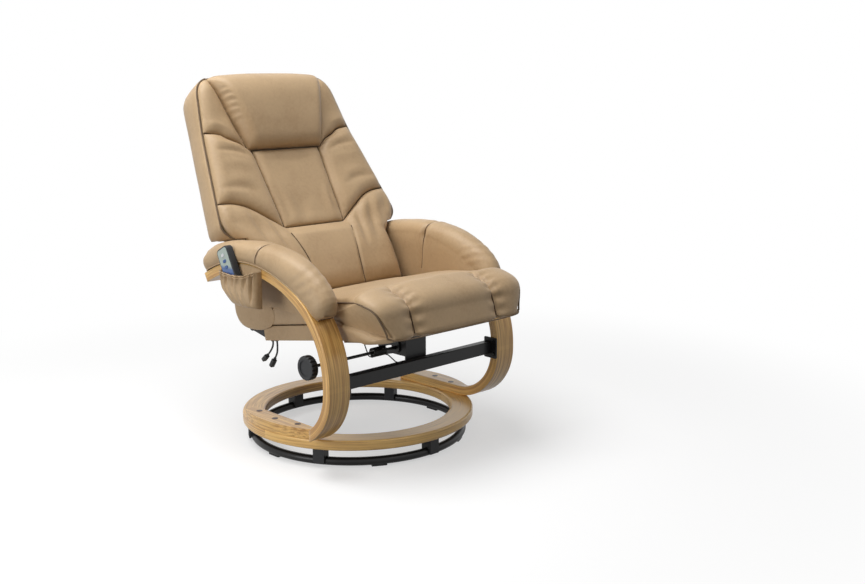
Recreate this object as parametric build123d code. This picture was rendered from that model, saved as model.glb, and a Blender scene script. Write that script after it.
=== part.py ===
from build123d import *
import math
import os

# Swivel recliner armchair: a laminated ring turns on a steel floor ring and carries two bentwood
# C-shaped legs that end as arm rails. A padded back swings on pivots at the rear ends of the rails,
# and the seat, hinged to the back's foot, glides forward on the lock rod.
# Millimetres. +Z is up, the sitter faces -Y, the sitter's right is -X, the swivel axis is X = Y = 0
# and the floor is Z = 0.

os.makedirs("parts", exist_ok=True)

# Fits and clearances
shaft_gap = 0.05        # radial, a bolt or a rod in its hole
rest_gap = 0.3          # between soft or curved neighbours
side_gap = 1.0          # between plates that slide past each other
cut_over = 4.0          # overrun of every cut

# Floor ring
floor_ring_inset = 30.0  # the tube's centre line lies this far inside the base ring's rim
floor_tube_d = 22.0
floor_pad_t = 3.0       # pad under the tube
floor_pad_w = 12.0
floor_pad_l = 40.0
floor_pad_grip = 3.0    # how far the pad climbs the tube
floor_pad_count = 6

# Laminated base ring
foot_overhang = 10.0    # the feet stand out this far past the ring's rim
ring_width = 62.0
ring_t = 27.0
ring_lift = 51.0        # underside above the floor
ring_round = 5.0

# Glide blocks between the rings
glide_count = 6
glide_first_angle = 30.0
glide_l = 30.0          # along the ring
glide_w = 34.0          # across the ring
glide_skirt = 5.0       # how far the cheeks reach below the tube's centre
glide_screw_d = 4.5
glide_screw_head_d = 8.0
glide_screw_head_t = 3.0
glide_screw_bite = 14.0

# Bentwood strip, one for each leg and arm
strip_w = 66.0
strip_t = 26.0
strip_stand = 29.0      # inner side face from the seat frame's side
strip_round = 2.5
foot_rear_y = 115.0
foot_bend_y = -130.0    # where the foot starts to bend upwards
toe_r = 155.0           # outer radius of the bend at the floor
shin_h = 12.0           # short upright stretch
knee_r = 247.0          # outer radius from shin to rail
knee_end_angle = 120.0
rail_r = 410.0          # outer radius of the arm rail
rail_rear_y = 240.0
foot_trim_y = -150.0    # the foot follows the ring's rim as far as here
foot_trim_r = 60.0      # hollow that leads the rim back to the strip's full width
foot_heel_round = 24.0

# Bolts through each foot
foot_bolt_inset = 28.0  # inside the ring's rim
foot_bolt_angles = (-15.0, 1.5, 17.5)
foot_bolt_d = 8.0
bolt_head_d = 14.0
bolt_head_t = 5.0
bolt_cap_d = 16.6
bolt_cap_t = 3.0
bolt_cap_proud = 0.4
t_nut_d = 15.0
t_nut_t = 7.0

# Crossbar between the legs
bar_front_y = -262.0
bar_depth = 24.0
bar_height = 34.0
bar_bottom_z = 224.0
bar_wall = 2.5
bar_round = 3.0
flange_t = 4.0
flange_front_y = -283.0
flange_overhang = 12.0  # above and below the bar
flange_screw_d = 6.0
flange_screw_head_d = 11.0
flange_screw_head_t = 3.5
flange_screw_l = 40.0

# Lock rod, its bracket and its knob
rod_y = -200.0
rod_z = 284.0
rod_d = 8.0
rod_end_x = 52.0
rod_nut_d = 15.0
rod_nut_t = 6.5
bracket_half_w = 36.0
bracket_t = 4.0
bracket_ear_end = 18.0  # ear beyond the rod
bracket_ear_h = 38.0
bracket_top_z = 320.0
bracket_round = 8.0
knob_stand = 7.0        # outer face past the leg
knob_d = 62.0
knob_t = 20.0
knob_round = 4.0
knob_dish = 2.0
knob_dish_d = 40.0
knob_flutes = 18
knob_flute_d = 5.0
knob_collar_d = 18.0
knob_collar_t = 8.0
knob_bore = 14.0

# Return spring round the rod
spring_wire_d = 3.2
spring_mean_r = 11.0
spring_pitch = 4.5
spring_turns = 10
spring_start_x = -121.0
spring_heel = 12.0      # straight run behind the coil
spring_heel_r = 10.0
spring_heel_rise = 62.0  # degrees
spring_toe_run = 14.0
spring_toe_drop_run = 28.0
spring_toe_rest = 12.0
spring_toe_r = 9.0

# Recline linkage
back_pivot_y = 213.0    # on the arm rail's rear end
back_pivot_z = 460.0
hinge_y = 150.0         # back foot to seat
hinge_z = 318.0
recline_limit = 22.0    # degrees
seat_ratio = 1.19       # seat turns against the back by this share of the recline

# Seat, in its own tilted frame: v runs rearwards along the underside, w is square to it
seat_tilt = 9.7
seat_ref_y = -120.0
seat_ref_z = 323.0
frame_half_w = 235.0
frame_front_v = -110.0
frame_rear_v = 212.0
frame_rail_t = 18.0
frame_h = 38.0
frame_cross_v = 40.0
cover_t = 1.2
cover_inset = 3.0
skirt_t = 4.6
skirt_h = 40.0
skirt_round = 2.0
strap_w = 50.0
strap_t = 1.2
strap_count = 4
strap_pitch = 95.0
cushion_over = 13.0     # past the frame's side
cushion_flare = 14.0    # wider again at the front
cushion_rear_v = 170.0
cushion_front_v = -285.0
cushion_top_w = 117.0
cushion_rear_top_w = 102.0
cushion_under_w = -8.0
cushion_step_v = -115.0
cushion_flare_start_v = -152.0
cushion_flare_v = -222.0
# Side view of the crown and the waterfall front, (v, w), and the rounding of each corner
cushion_front_profile = ((-30.0, 117.0), (-204.0, 114.0), (-272.0, 74.0))
cushion_profile_radii = (16.0, 420.0, 55.0, 46.0, 13.0)
cushion_corner_r = 42.0
cushion_edge_r = 12.0
channel_x = 145.0
channel_w = 5.0
channel_depth = 6.0
channel_rear_v = -196.0
seat_pipe_d = 5.0

# Seat plate with the slotted ears
plate_half_w = 70.0
plate_front_v = -104.0
plate_rear_v = 52.0
plate_t = 3.0
ear_t = 4.0
ear_rim = 9.0           # steel round the slot
slot_gap = 0.6
slot_over = 1.5         # degrees of recline beyond each stop
plate_round = 14.0

# Hinge between the seat and the back's foot
arm_t = 4.0
arm_eye_r = 13.0
arm_root_v = 96.0
arm_root_h = 30.0
pin_d = 9.0
pin_head_d = 15.0
pin_head_t = 1.8

# Back, in its own tilted frame: x across, s up along the front seam plane, o square to it
back_tilt = 32.0
back_ref_y = 230.0
back_ref_z = 650.0
back_low_s = -300.0
back_waist_s = -150.0
back_hip_over = 70.0    # the hips pass the back's foot by this much
back_hip_s = -85.0
back_top_inset = 15.0   # the top is narrower than the foot by this much
back_top_s = 388.0
back_waist_r = 22.0
back_hip_r = 42.0
back_corner_r = 56.0
back_depth = 76.0
back_flare_s = -110.0
back_flare = 62.0       # how far the foot of the back stands out behind
back_wall = 8.0
back_rear_round = 22.0
back_pipe_d = 5.4

back_tube_d = 20.0
back_tube_o = -14.5
back_tube_foot_s = -276.0
back_tube_top_s = 340.0
back_tube_bend_r = 60.0
back_strap_w = 45.0
back_strap_t = 1.2
back_strap_count = 6
back_strap_first_s = -220.0
back_strap_pitch = 90.0
heat_inset = 145.0      # inside the back's foot
heat_low_s = -240.0
heat_high_s = -60.0
heat_t = 2.0
motor_d = 64.0
motor_t = 20.0
motor_boss_d = 34.0
motor_boss_t = 6.0
back_motor_x = 70.0
back_motor_s = (-200.0, -20.0)

# Front pads of the back
pad_inset = 6.0         # inside the outline, for the piping
seam_gap = 0.8          # between two pads
panel_low_s = -98.0
panel_high_s = 146.0
panel_taper = 11.0      # narrower at its foot
panel_inset = 12.0      # its top corners inside the pillow's
panel_h = 13.0
panel_round = 8.0
wing_h = 22.0
wing_round = 10.0
upper_wing_h = 20.0
upper_wing_round = 12.0
lumbar_h = 34.0
lumbar_round = 20.0
lumbar_inset = 7.0      # inside the back's foot
lumbar_seam_inset = 10.0  # inside the panel's lower corners
lumbar_seam_h = 130.0
lumbar_seam_w = 5.0
lumbar_seam_depth = 5.0
pillow_low_s = 149.0
pillow_inset = 33.0     # its top inside the back's top corners
pillow_taper = 64.0     # narrower at its foot
pillow_h = 60.0
pillow_top_s = 404.0
pillow_rear_o = -46.0
pillow_round = 18.0
# Side view of the roll, (s, o), and the rounding of each corner
pillow_profile = ((149.0, 38.0), (300.0, 60.0), (404.0, 34.0))
pillow_profile_radii = (24.0, 90.0, 40.0)
# Seams of the wings: share of the way from the panel's edge to the outline, and height along s
lower_seam_shares = (0.0, 0.36, 0.70, 1.0)
lower_seam_s = (-98.0, -52.0, -16.0, -8.0)
upper_seam_shares = (0.0, 0.36, 0.72, 1.0)
upper_seam_s = (140.0, 173.0, 198.0, 206.0)

# Brackets from the back to the pivots
plate_eye_r = 16.0
plate_foot_r = 13.0
plate_screw_r = 10.0
bracket_plate_t = 4.2
bracket_screw_s = (-235.0, -177.0)
bracket_screw_d = 6.0
bracket_screw_head_d = 12.0
bracket_screw_head_t = 3.0
pivot_d = 10.0
pivot_thread_d = 7.0
pivot_thread_l = 32.0
pivot_head_d = 18.0
pivot_head_t = 3.0
pivot_washer_d = 22.0

# Arm pads, boards and side panels
arm_pad_over_in = 14.0  # past the rail's inner face
arm_pad_over_out = 6.0  # past the rail's outer face
arm_pad_start_angle = 139.0
arm_pad_round = 20.0
arm_seam_w = 5.0
arm_seam_depth = 4.0
arm_seam_crown = 0.785    # height of the crown there, share of the pad's height
arm_pad_seam_share = 0.53
arm_pad_clear_r = 85.0  # the pad's rear end stays inside this radius round the back pivot
back_clear_gap = 3.0    # and the back's wide part stays this far outside it
# Crown of the pad: share of the rail's length, share of the pad's height
arm_pad_h = 70.0
arm_crown_shares = ((-0.02, 0.32), (0.0, 0.66), (0.06, 0.93), (0.16, 1.0), (0.30, 0.97), (0.50, 0.79),
                    (0.68, 0.75), (0.84, 0.82), (0.93, 0.83), (0.985, 0.58), (1.0, 0.22))
# Crest of the rear half of the pad, under the back's hips
arm_crest_shares = ((0.56, 0.80), (0.78, 0.83), (0.93, 0.85))
board_t = 6.0
board_w = 54.0
board_angles = (112.0, 66.0)
board_screw_angles = (104.0, 74.0)
board_screw_d = 5.0
board_screw_head_d = 10.0
board_screw_head_t = 3.0
flap_t = 9.2
flap_front_y = -205.0
flap_rear_y = 165.0
flap_bottom_z = 408.0
flap_round = 3.0

# Pocket on the sitter's right
pocket_front_y = -24.0
pocket_rear_y = 136.0
pocket_top_z = 490.0
pocket_bottom_z = 404.0
pocket_heel_y = 72.0
pocket_heel_z = 446.0
pocket_depth = 33.0
pocket_wall = 2.0
pocket_back_t = 1.6
pocket_corner_r = 15.0
pocket_floor_r = 14.0
hem_h = 9.0
hem_t = 2.2

# Handset in the pocket
handset_tilt = 27.0
handset_w = 52.0
handset_t = 20.0
handset_l = 148.0
handset_mid_y = 86.0    # where its centre line crosses the pocket's mouth
handset_out = 66.0      # length that stands out of the pocket
handset_corner_r = 12.0
handset_round = 3.0
face_t = 1.4
face_inset = 4.0
button_travel = 1.0
button_proud = 1.2
button_gap = 0.35
button_w = 14.0
button_l = 8.0
button_stem = 3.5
button_first_share = 0.86
button_pitch_share = 0.11

# Leads that hang from the seat
lead_d = 5.0
lead_v = (204.0, 186.0)
lead_start_w = 14.0
lead_drop_w = -9.0
# Hanging part of each lead: steps across, rearwards and down from below the cover
lead_steps = (((-1.0, 4.0, -13.0), (-2.0, 13.0, -26.0), (-1.0, 25.0, -36.0)),
              ((0.5, 1.0, -15.0), (2.0, 5.0, -30.0), (1.0, 13.0, -43.0)))
lead_bend_share = 0.45
grommet_d = 11.0
grommet_t = 2.2
plug_w = 13.0
plug_t = 11.0
plug_l = 24.0
plug_neck_d = 8.0
plug_neck_l = 6.0
plug_round = 2.0
box_w = 84.0
box_l = 62.0
box_h = 26.0
box_round = 3.0
box_rear_v = 172.0

# Worked out from the sizes above
strip_inner_x = frame_half_w + strip_stand
strip_outer_x = strip_inner_x + strip_w
ring_outer_r = strip_outer_x - foot_overhang
floor_ring_r = ring_outer_r - floor_ring_inset
foot_bolt_r = ring_outer_r - foot_bolt_inset
floor_tube_z = floor_pad_t + floor_tube_d / 2
ring_inner_r = ring_outer_r - ring_width
ring_top = ring_lift + ring_t
toe_centre = (foot_bend_y, ring_top + toe_r)
knee_centre = (foot_bend_y - toe_r + knee_r, ring_top + toe_r + shin_h)
knee_end = (knee_centre[0] + knee_r * math.cos(math.radians(knee_end_angle)),
            knee_centre[1] + knee_r * math.sin(math.radians(knee_end_angle)))
rail_centre = (knee_end[0] - rail_r * math.cos(math.radians(knee_end_angle)),
               knee_end[1] - rail_r * math.sin(math.radians(knee_end_angle)))
rail_end_angle = math.degrees(math.acos((rail_rear_y - rail_centre[0]) / rail_r))
bar_top_z = bar_bottom_z + bar_height
bar_rear_y = bar_front_y + bar_depth
foot_top = ring_top + strip_t
knob_x = -(strip_outer_x + knob_stand)
cushion_half_w = frame_half_w + cushion_over
cushion_front_half_w = cushion_half_w + cushion_flare
lead_x = -(frame_half_w - frame_rail_t / 2)
back_low_half_w = frame_half_w + arm_t + side_gap
back_hip_x = back_low_half_w + back_hip_over
back_top_x = back_low_half_w - back_top_inset
heat_half_w = back_low_half_w - heat_inset
pillow_high_half_w = back_top_x - pillow_inset
pillow_low_half_w = pillow_high_half_w - pillow_taper
panel_high_half_w = pillow_low_half_w - panel_inset
panel_low_half_w = panel_high_half_w - panel_taper
lumbar_half_w = back_low_half_w - lumbar_inset
lumbar_seam_x = panel_low_half_w - lumbar_seam_inset
arm_pad_inner_x = strip_inner_x - arm_pad_over_in
arm_pad_outer_x = strip_outer_x + arm_pad_over_out
lower_seam = tuple(zip(lower_seam_shares, lower_seam_s))
upper_seam = tuple(zip(upper_seam_shares, upper_seam_s))
bracket_plate_x = back_low_half_w + rest_gap
knob_inner_x = knob_x + knob_t
pocket_back_x = -(strip_outer_x + rest_gap)
pocket_inner_x = pocket_back_x - pocket_back_t
pocket_outer_x = pocket_inner_x - pocket_depth
handset_stand = arm_pad_over_out - pocket_back_t    # the handset leans on the arm pad's side

seat_plane = Plane(origin=(0, seat_ref_y, seat_ref_z), x_dir=(1, 0, 0),
                   z_dir=(0, math.sin(math.radians(seat_tilt)), math.cos(math.radians(seat_tilt))))
back_plane = Plane(origin=(0, back_ref_y, back_ref_z), x_dir=(1, 0, 0),
                   z_dir=(0, -math.cos(math.radians(back_tilt)), math.sin(math.radians(back_tilt))))


def block(x0, x1, y0, y1, z0, z1):
    """A box between two corners."""
    size = Box(x1 - x0, y1 - y0, z1 - z0)
    return Pos((x0 + x1) / 2, (y0 + y1) / 2, (z0 + z1) / 2) * size


def rod_x(y, z, radius, x0, x1):
    """A round bar along X."""
    bar = extrude(Circle(radius), x1 - x0)
    return Plane.YZ.offset(x0) * Pos(y, z) * bar


def rod_z_between(x, y, radius, z0, z1):
    """A round bar along Z."""
    return Pos(x, y, z0) * extrude(Circle(radius), z1 - z0)


def profile_x(face, x0, x1):
    """A profile drawn in (y, z), pulled along X."""
    return Plane.YZ.offset(x0) * extrude(face, x1 - x0)


def other_side(shape):
    """The mirror image on the other side of the chair."""
    return mirror(shape, about=Plane.YZ)


def polar(centre, radius, angle):
    """A point on a circle, the angle in degrees."""
    turn = math.radians(angle)
    return (centre[0] + radius * math.cos(turn), centre[1] + radius * math.sin(turn))


def joined(parts):
    """Several separate solids as one shape."""
    return Compound(children=[solid for part in parts for solid in part.solids()])


def save(shape, node):
    """Write one sub-part."""
    export_step(shape, f"parts/{node}.step")


# Floor ring and base ring

def floor_ring():
    tube = Torus(floor_ring_r, floor_tube_d / 2)
    return Pos(0, 0, floor_tube_z) * tube


def floor_pads():
    inner = floor_ring_r - floor_pad_w / 2
    outer = floor_ring_r + floor_pad_w / 2
    top = floor_pad_t + floor_pad_grip
    band = extrude(Circle(outer) - Circle(inner), top)
    band -= Pos(0, 0, floor_tube_z) * Torus(floor_ring_r, floor_tube_d / 2 + shaft_gap)
    pads = []
    for index in range(floor_pad_count):
        turn = Rot(0, 0, index * 360 / floor_pad_count)
        reach = turn * block(inner - cut_over, outer + cut_over, -floor_pad_l / 2, floor_pad_l / 2, 0, top)
        pads.append(band & reach)
    return joined(pads)


def base_ring():
    section = Pos(ring_inner_r + ring_width / 2, ring_lift + ring_t / 2) * RectangleRounded(
        ring_width, ring_t, ring_round)
    ring = revolve(Plane.XZ * section, Axis.Z)
    for x, y in foot_bolt_places():
        ring -= rod_z_between(x, y, foot_bolt_d / 2 + shaft_gap, ring_lift - cut_over, ring_top + cut_over)
        ring -= rod_z_between(x, y, t_nut_d / 2 + shaft_gap, ring_lift - cut_over, ring_lift + t_nut_t)
    for x, y in glide_places():
        ring -= rod_z_between(x, y, glide_screw_d / 2 + shaft_gap, ring_lift - cut_over,
                              ring_lift + glide_screw_bite + shaft_gap)
    return ring


def foot_bolt_places():
    """Bolt centres on both feet."""
    places = []
    for angle in foot_bolt_angles:
        x, y = polar((0, 0), foot_bolt_r, 180 + angle)
        places += [(x, y), (-x, y)]
    return places


def glide_places():
    """Screw centres of the glide blocks."""
    step = 360 / glide_count
    return [polar((0, 0), floor_ring_r, glide_first_angle + index * step) for index in range(glide_count)]


def glide_screw_head_z():
    """Underside of the screw head, inside the block."""
    return floor_tube_z + floor_tube_d / 2 + rest_gap + glide_screw_head_t


def glide_blocks():
    tube_r = floor_tube_d / 2 + rest_gap
    bottom = floor_tube_z - glide_skirt
    slot = Circle(floor_ring_r + tube_r) - Circle(floor_ring_r - tube_r)
    groove = Pos(0, 0, floor_tube_z) * Torus(floor_ring_r, tube_r)
    groove += Pos(0, 0, bottom - cut_over) * extrude(slot, floor_tube_z - bottom + cut_over)
    one = block(floor_ring_r - glide_w / 2, floor_ring_r + glide_w / 2, -glide_l / 2, glide_l / 2,
                bottom, ring_lift)
    one -= groove
    head_z = glide_screw_head_z()
    one -= rod_z_between(floor_ring_r, 0, glide_screw_head_d / 2 + rest_gap, floor_tube_z, head_z + rest_gap)
    one -= rod_z_between(floor_ring_r, 0, glide_screw_d / 2 + shaft_gap, head_z, ring_lift + cut_over)
    step = 360 / glide_count
    return joined([Rot(0, 0, glide_first_angle + index * step) * one for index in range(glide_count)])


def glide_screws():
    head_z = glide_screw_head_z()
    screws = []
    for x, y in glide_places():
        screw = rod_z_between(x, y, glide_screw_head_d / 2, head_z - glide_screw_head_t + rest_gap,
                              head_z + rest_gap)
        screw += rod_z_between(x, y, glide_screw_d / 2, head_z, ring_lift + glide_screw_bite)
        screws.append(screw)
    return joined(screws)


# Bentwood legs

def strip_face():
    """Side view of one strip: foot, toe bend, shin, knee and arm rail, in (y, z)."""
    inset = strip_t
    knee_turn = 180 - knee_end_angle
    rail_turn = knee_end_angle - rail_end_angle
    outer = [
        Line((foot_rear_y, ring_top), (foot_bend_y, ring_top)),
        CenterArc(toe_centre, toe_r, 180, 90),
        Line(polar(toe_centre, toe_r, 180), polar(knee_centre, knee_r, 180)),
        CenterArc(knee_centre, knee_r, knee_end_angle, knee_turn),
        CenterArc(rail_centre, rail_r, rail_end_angle, rail_turn),
    ]
    inner = [
        Line(polar(rail_centre, rail_r, rail_end_angle), polar(rail_centre, rail_r - inset, rail_end_angle)),
        CenterArc(rail_centre, rail_r - inset, rail_end_angle, rail_turn),
        CenterArc(knee_centre, knee_r - inset, knee_end_angle, knee_turn),
        Line(polar(toe_centre, toe_r - inset, 180), polar(knee_centre, knee_r - inset, 180)),
        CenterArc(toe_centre, toe_r - inset, 180, 90),
        Line((foot_rear_y, ring_top + inset), (foot_bend_y, ring_top + inset)),
        Line((foot_rear_y, ring_top), (foot_rear_y, ring_top + inset)),
    ]
    return make_face(outer + inner)


def foot_trim():
    """What is cut off so that the foot follows the rim of the base ring, then swells back out."""
    rim_x = math.sqrt(ring_outer_r ** 2 - foot_trim_y ** 2)
    beyond = strip_outer_x + strip_w
    hollow_y = foot_trim_y - foot_trim_r
    outline = make_face([
        ThreePointArc((rim_x, foot_trim_y), (ring_outer_r, 0), (rim_x, -foot_trim_y)),
        Line((rim_x, -foot_trim_y), (beyond, -foot_trim_y)),
        Line((beyond, -foot_trim_y), (beyond, hollow_y)),
        Line((beyond, hollow_y), (strip_outer_x, hollow_y)),
        Spline((strip_outer_x, hollow_y), (rim_x, foot_trim_y),
               tangents=((0, 1), (-foot_trim_y, rim_x))),
    ])
    return Pos(0, 0, ring_top - cut_over) * extrude(outline, foot_top + strip_t - ring_top)


def bentwood_leg(side):
    leg = profile_x(strip_face(), strip_inner_x, strip_outer_x)
    long_edges = leg.edges().filter_by(Plane.YZ)
    leg = fillet(long_edges, strip_round)
    leg -= foot_trim()
    for x, y in foot_bolt_places():
        if x > 0:
            leg -= rod_z_between(x, y, foot_bolt_d / 2 + shaft_gap, ring_top - cut_over, foot_top)
            leg -= rod_z_between(x, y, bolt_cap_d / 2 + shaft_gap, foot_top - bolt_head_t - bolt_cap_t,
                                 foot_top + cut_over)
    for y, z in flange_screw_places():
        leg -= rod_x(y, z, flange_screw_d / 2 + shaft_gap, strip_inner_x - cut_over,
                     strip_inner_x + flange_screw_l)
    for angle in board_screw_angles:
        leg -= board_screw_hole(angle)
    leg -= rod_x(back_pivot_y, back_pivot_z, pivot_thread_d / 2 + shaft_gap, strip_inner_x - cut_over,
                 strip_inner_x + pivot_thread_l)
    return leg if side > 0 else other_side(leg)


def leg_bolts():
    bolts = []
    for x, y in foot_bolt_places():
        seat_z = foot_top - bolt_head_t - bolt_cap_t
        bolt = rod_z_between(x, y, bolt_head_d / 2, seat_z, seat_z + bolt_head_t - rest_gap)
        bolt += rod_z_between(x, y, foot_bolt_d / 2, ring_lift + rest_gap, seat_z + rest_gap)
        bolt += rod_z_between(x, y, t_nut_d / 2, ring_lift + rest_gap, ring_lift + t_nut_t)
        bolts.append(bolt)
    return joined(bolts)


def bolt_caps():
    caps = []
    for x, y in foot_bolt_places():
        cap = rod_z_between(x, y, bolt_cap_d / 2, foot_top - bolt_cap_t, foot_top + bolt_cap_proud)
        caps.append(fillet(cap.edges().group_by(Axis.Z)[-1], bolt_cap_proud))
    return joined(caps)


# Crossbar, bracket, rod, knob and spring

def flange_screw_places():
    """Two screws a side, on the leg's inner face."""
    y = knee_centre[0] - knee_r + strip_t / 2
    lower = bar_bottom_z
    return [(y, lower), (y, bar_top_z)]


def crossbar():
    half = strip_inner_x - flange_t
    bar = block(-half, half, bar_front_y, bar_rear_y, bar_bottom_z, bar_top_z)
    bar = fillet(bar.edges().filter_by(Axis.X), bar_round)
    bar -= block(-half, half, bar_front_y + bar_wall, bar_rear_y - bar_wall, bar_bottom_z + bar_wall,
                 bar_top_z - bar_wall)
    for side in (-1, 1):
        flange = block(min(side * half, side * strip_inner_x), max(side * half, side * strip_inner_x),
                       flange_front_y, bar_rear_y, bar_bottom_z - flange_overhang, bar_top_z + flange_overhang)
        flange = fillet(flange.edges().filter_by(Axis.X), bar_round)
        for y, z in flange_screw_places():
            flange -= rod_x(y, z, flange_screw_d / 2 + shaft_gap, min(side * half, side * strip_inner_x) - cut_over,
                            max(side * half, side * strip_inner_x) + cut_over)
        bar += flange
    return bar


def crossbar_screws():
    screws = []
    inner = strip_inner_x - flange_t
    for y, z in flange_screw_places():
        screw = rod_x(y, z, flange_screw_head_d / 2, inner - flange_screw_head_t, inner)
        screw += rod_x(y, z, flange_screw_d / 2, inner - flange_screw_head_t,
                       strip_inner_x + flange_screw_l - rest_gap)
        screws += [screw, other_side(screw)]
    return joined(screws)


def centre_bracket():
    rear = rod_y + bracket_ear_end
    front = bar_rear_y
    face = block(-bracket_half_w, bracket_half_w, front, front + bracket_t, bar_bottom_z, bracket_top_z)
    face = fillet(face.edges().filter_by(Axis.Y), bracket_t)
    ear = block(bracket_half_w - bracket_t, bracket_half_w, front, rear, rod_z - bracket_ear_h / 2,
                rod_z + bracket_ear_h / 2)
    ear = fillet(ear.edges().filter_by(Axis.X).group_by(Axis.Y)[-1], bracket_round)
    ear -= rod_x(rod_y, rod_z, rod_d / 2 + shaft_gap, 0, bracket_half_w + cut_over)
    return face + ear + other_side(ear)


def lock_rod():
    inner = knob_x + knob_t - knob_bore
    rod = rod_x(rod_y, rod_z, rod_d / 2, inner, rod_end_x)
    nut = Plane.YZ.offset(rod_end_x - rod_nut_t) * Pos(rod_y, rod_z) * extrude(
        RegularPolygon(rod_nut_d / 2, 6), rod_nut_t)
    return rod + nut


def lock_knob():
    body = rod_x(rod_y, rod_z, knob_d / 2, knob_x, knob_inner_x)
    body = fillet(body.edges(), knob_round)
    body += rod_x(rod_y, rod_z, knob_collar_d / 2, knob_inner_x - knob_round, knob_inner_x + knob_collar_t)
    body -= rod_x(rod_y, rod_z, knob_dish_d / 2, knob_x - cut_over, knob_x + knob_dish)
    for index in range(knob_flutes):
        y, z = polar((rod_y, rod_z), knob_d / 2, index * 360 / knob_flutes)
        body -= rod_x(y, z, knob_flute_d / 2, knob_x - cut_over, knob_inner_x + cut_over / 2)
    body -= rod_x(rod_y, rod_z, rod_d / 2 + shaft_gap, knob_inner_x - knob_bore,
                  knob_inner_x + knob_collar_t + cut_over)
    return body


def spring_path():
    """Legs and coil as one wire: every half turn is a tilted half circle that starts and ends along Y."""
    half_pitch = spring_pitch / 2
    tilt_r = math.hypot(spring_mean_r, half_pitch / 2)
    low = rod_z - spring_mean_r
    high = rod_z + spring_mean_r
    heel_x = spring_start_x
    rise = math.radians(spring_heel_rise)
    under = seat_plane.from_local_coords(Vector(heel_x, 0, -cover_t - rest_gap - spring_wire_d))
    climb = under.Z - low
    tip = (heel_x, rod_y + spring_heel + climb / math.tan(rise), low + climb)
    edges = list(FilletPolyline(tip, (heel_x, rod_y + spring_heel, low), (heel_x, rod_y, low),
                                radius=spring_heel_r).edges())
    x = spring_start_x
    for index in range(2 * spring_turns):
        start_z, end_z = (low, high) if index % 2 == 0 else (high, low)
        bulge = -tilt_r if index % 2 == 0 else tilt_r
        edges.append(ThreePointArc((x, rod_y, start_z), (x + half_pitch / 2, rod_y + bulge, rod_z),
                                   (x + half_pitch, rod_y, end_z)).edge())
        x += half_pitch
    rest_z = bar_top_z + rest_gap + spring_wire_d / 2
    toe = FilletPolyline((x, rod_y, low), (x, rod_y - spring_toe_run, low),
                         (x, rod_y - spring_toe_run - spring_toe_drop_run, rest_z),
                         (x, rod_y - spring_toe_run - spring_toe_drop_run - spring_toe_rest, rest_z),
                         radius=spring_toe_r)
    edges += list(toe.edges())
    return Wire(edges)


def return_spring():
    path = spring_path()
    section = Plane(origin=path @ 0, z_dir=path % 0) * Circle(spring_wire_d / 2)
    print("return spring: least gap between turns", round(spring_pitch - spring_wire_d, 2))
    return sweep(section, path=path)


# Seat

def on_seat(shape):
    """From the seat's tilted frame to the chair's frame."""
    return seat_plane.location * shape


def seat_profile(face, x0, x1):
    """A profile drawn in (v, w), pulled across the seat."""
    return on_seat(profile_x(face, x0, x1))


def seat_frame():
    outer = block(-frame_half_w, frame_half_w, frame_front_v, frame_rear_v, 0, frame_h)
    hole_half = frame_half_w - frame_rail_t
    front = frame_front_v + frame_rail_t
    rear = frame_rear_v - frame_rail_t
    cross = block(-hole_half, hole_half, frame_cross_v, frame_cross_v + frame_rail_t, 0, frame_h)
    ring = outer - block(-hole_half, hole_half, front, rear, -cut_over, frame_h + cut_over)
    for v in lead_v:
        ring -= rod_z_between(lead_x, v, lead_d / 2 + rest_gap, -cut_over, lead_start_w + rest_gap)
    return on_seat(ring + cross)


def seat_bottom_cover():
    inset = cover_inset
    sheet = block(-frame_half_w + inset, frame_half_w - inset, frame_front_v + inset, frame_rear_v - inset,
                  -cover_t, 0)
    for v in lead_v:
        sheet -= rod_z_between(lead_x, v, lead_d / 2 + shaft_gap, -cover_t - cut_over, cut_over)
    return on_seat(sheet)


def seat_skirt():
    inner_x = frame_half_w + arm_t + rest_gap
    outer_x = inner_x + skirt_t
    front = frame_front_v - rest_gap
    rear = frame_rear_v + rest_gap
    band = block(-outer_x, outer_x, front - skirt_t, rear + skirt_t, 0, skirt_h)
    band = fillet(band.edges().filter_by(Axis.Z), skirt_t)
    band -= block(-inner_x, inner_x, front, rear, -cut_over, skirt_h + cut_over)
    for side in (-1, 1):
        x0 = side * (frame_half_w + arm_t / 2)
        band -= block(x0 - arm_t / 2 - side_gap, x0 + arm_t / 2 + side_gap, rear - cut_over,
                      rear + skirt_t + cut_over, -cut_over, frame_h)
    return on_seat(band)


def seat_webbing():
    level = frame_h + rest_gap
    straps = []
    half = (strap_count - 1) / 2
    mid_v = (frame_front_v + frame_rear_v) / 2
    cross_step = (frame_rear_v - frame_front_v) / strap_count
    sheet = None
    for index in range(strap_count):
        x = (index - half) * strap_pitch
        long = block(x - strap_w / 2, x + strap_w / 2, frame_front_v + frame_rail_t / 2,
                     frame_rear_v - frame_rail_t / 2, level, level + strap_t)
        v = mid_v + (index - half) * cross_step
        cross = block(-frame_half_w + frame_rail_t / 2, frame_half_w - frame_rail_t / 2, v - strap_w / 2,
                      v + strap_w / 2, level + strap_t / 2, level + 1.5 * strap_t)
        straps += [long, cross]
    for strap in straps:
        sheet = strap if sheet is None else sheet + strap
    return on_seat(sheet)


def cushion_face():
    """Side view of the seat cushion in (v, w): a waterfall front that rolls under the frame's front."""
    floor_w = frame_h + 2 * strap_t + 2 * rest_gap
    step_v = cushion_step_v - skirt_t
    corners = [(cushion_rear_v, cushion_rear_top_w), *cushion_front_profile,
               (cushion_front_v, cushion_under_w)]
    points = [(cushion_rear_v, floor_w), *corners, (step_v, cushion_under_w), (step_v, floor_w)]
    face = make_face(Polyline(*points, points[0]))
    for corner, radius in zip(corners, cushion_profile_radii):
        nearest = face.vertices().sort_by_distance((corner[0], corner[1], 0))[0]
        face = fillet(nearest, radius)
    return face


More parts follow.
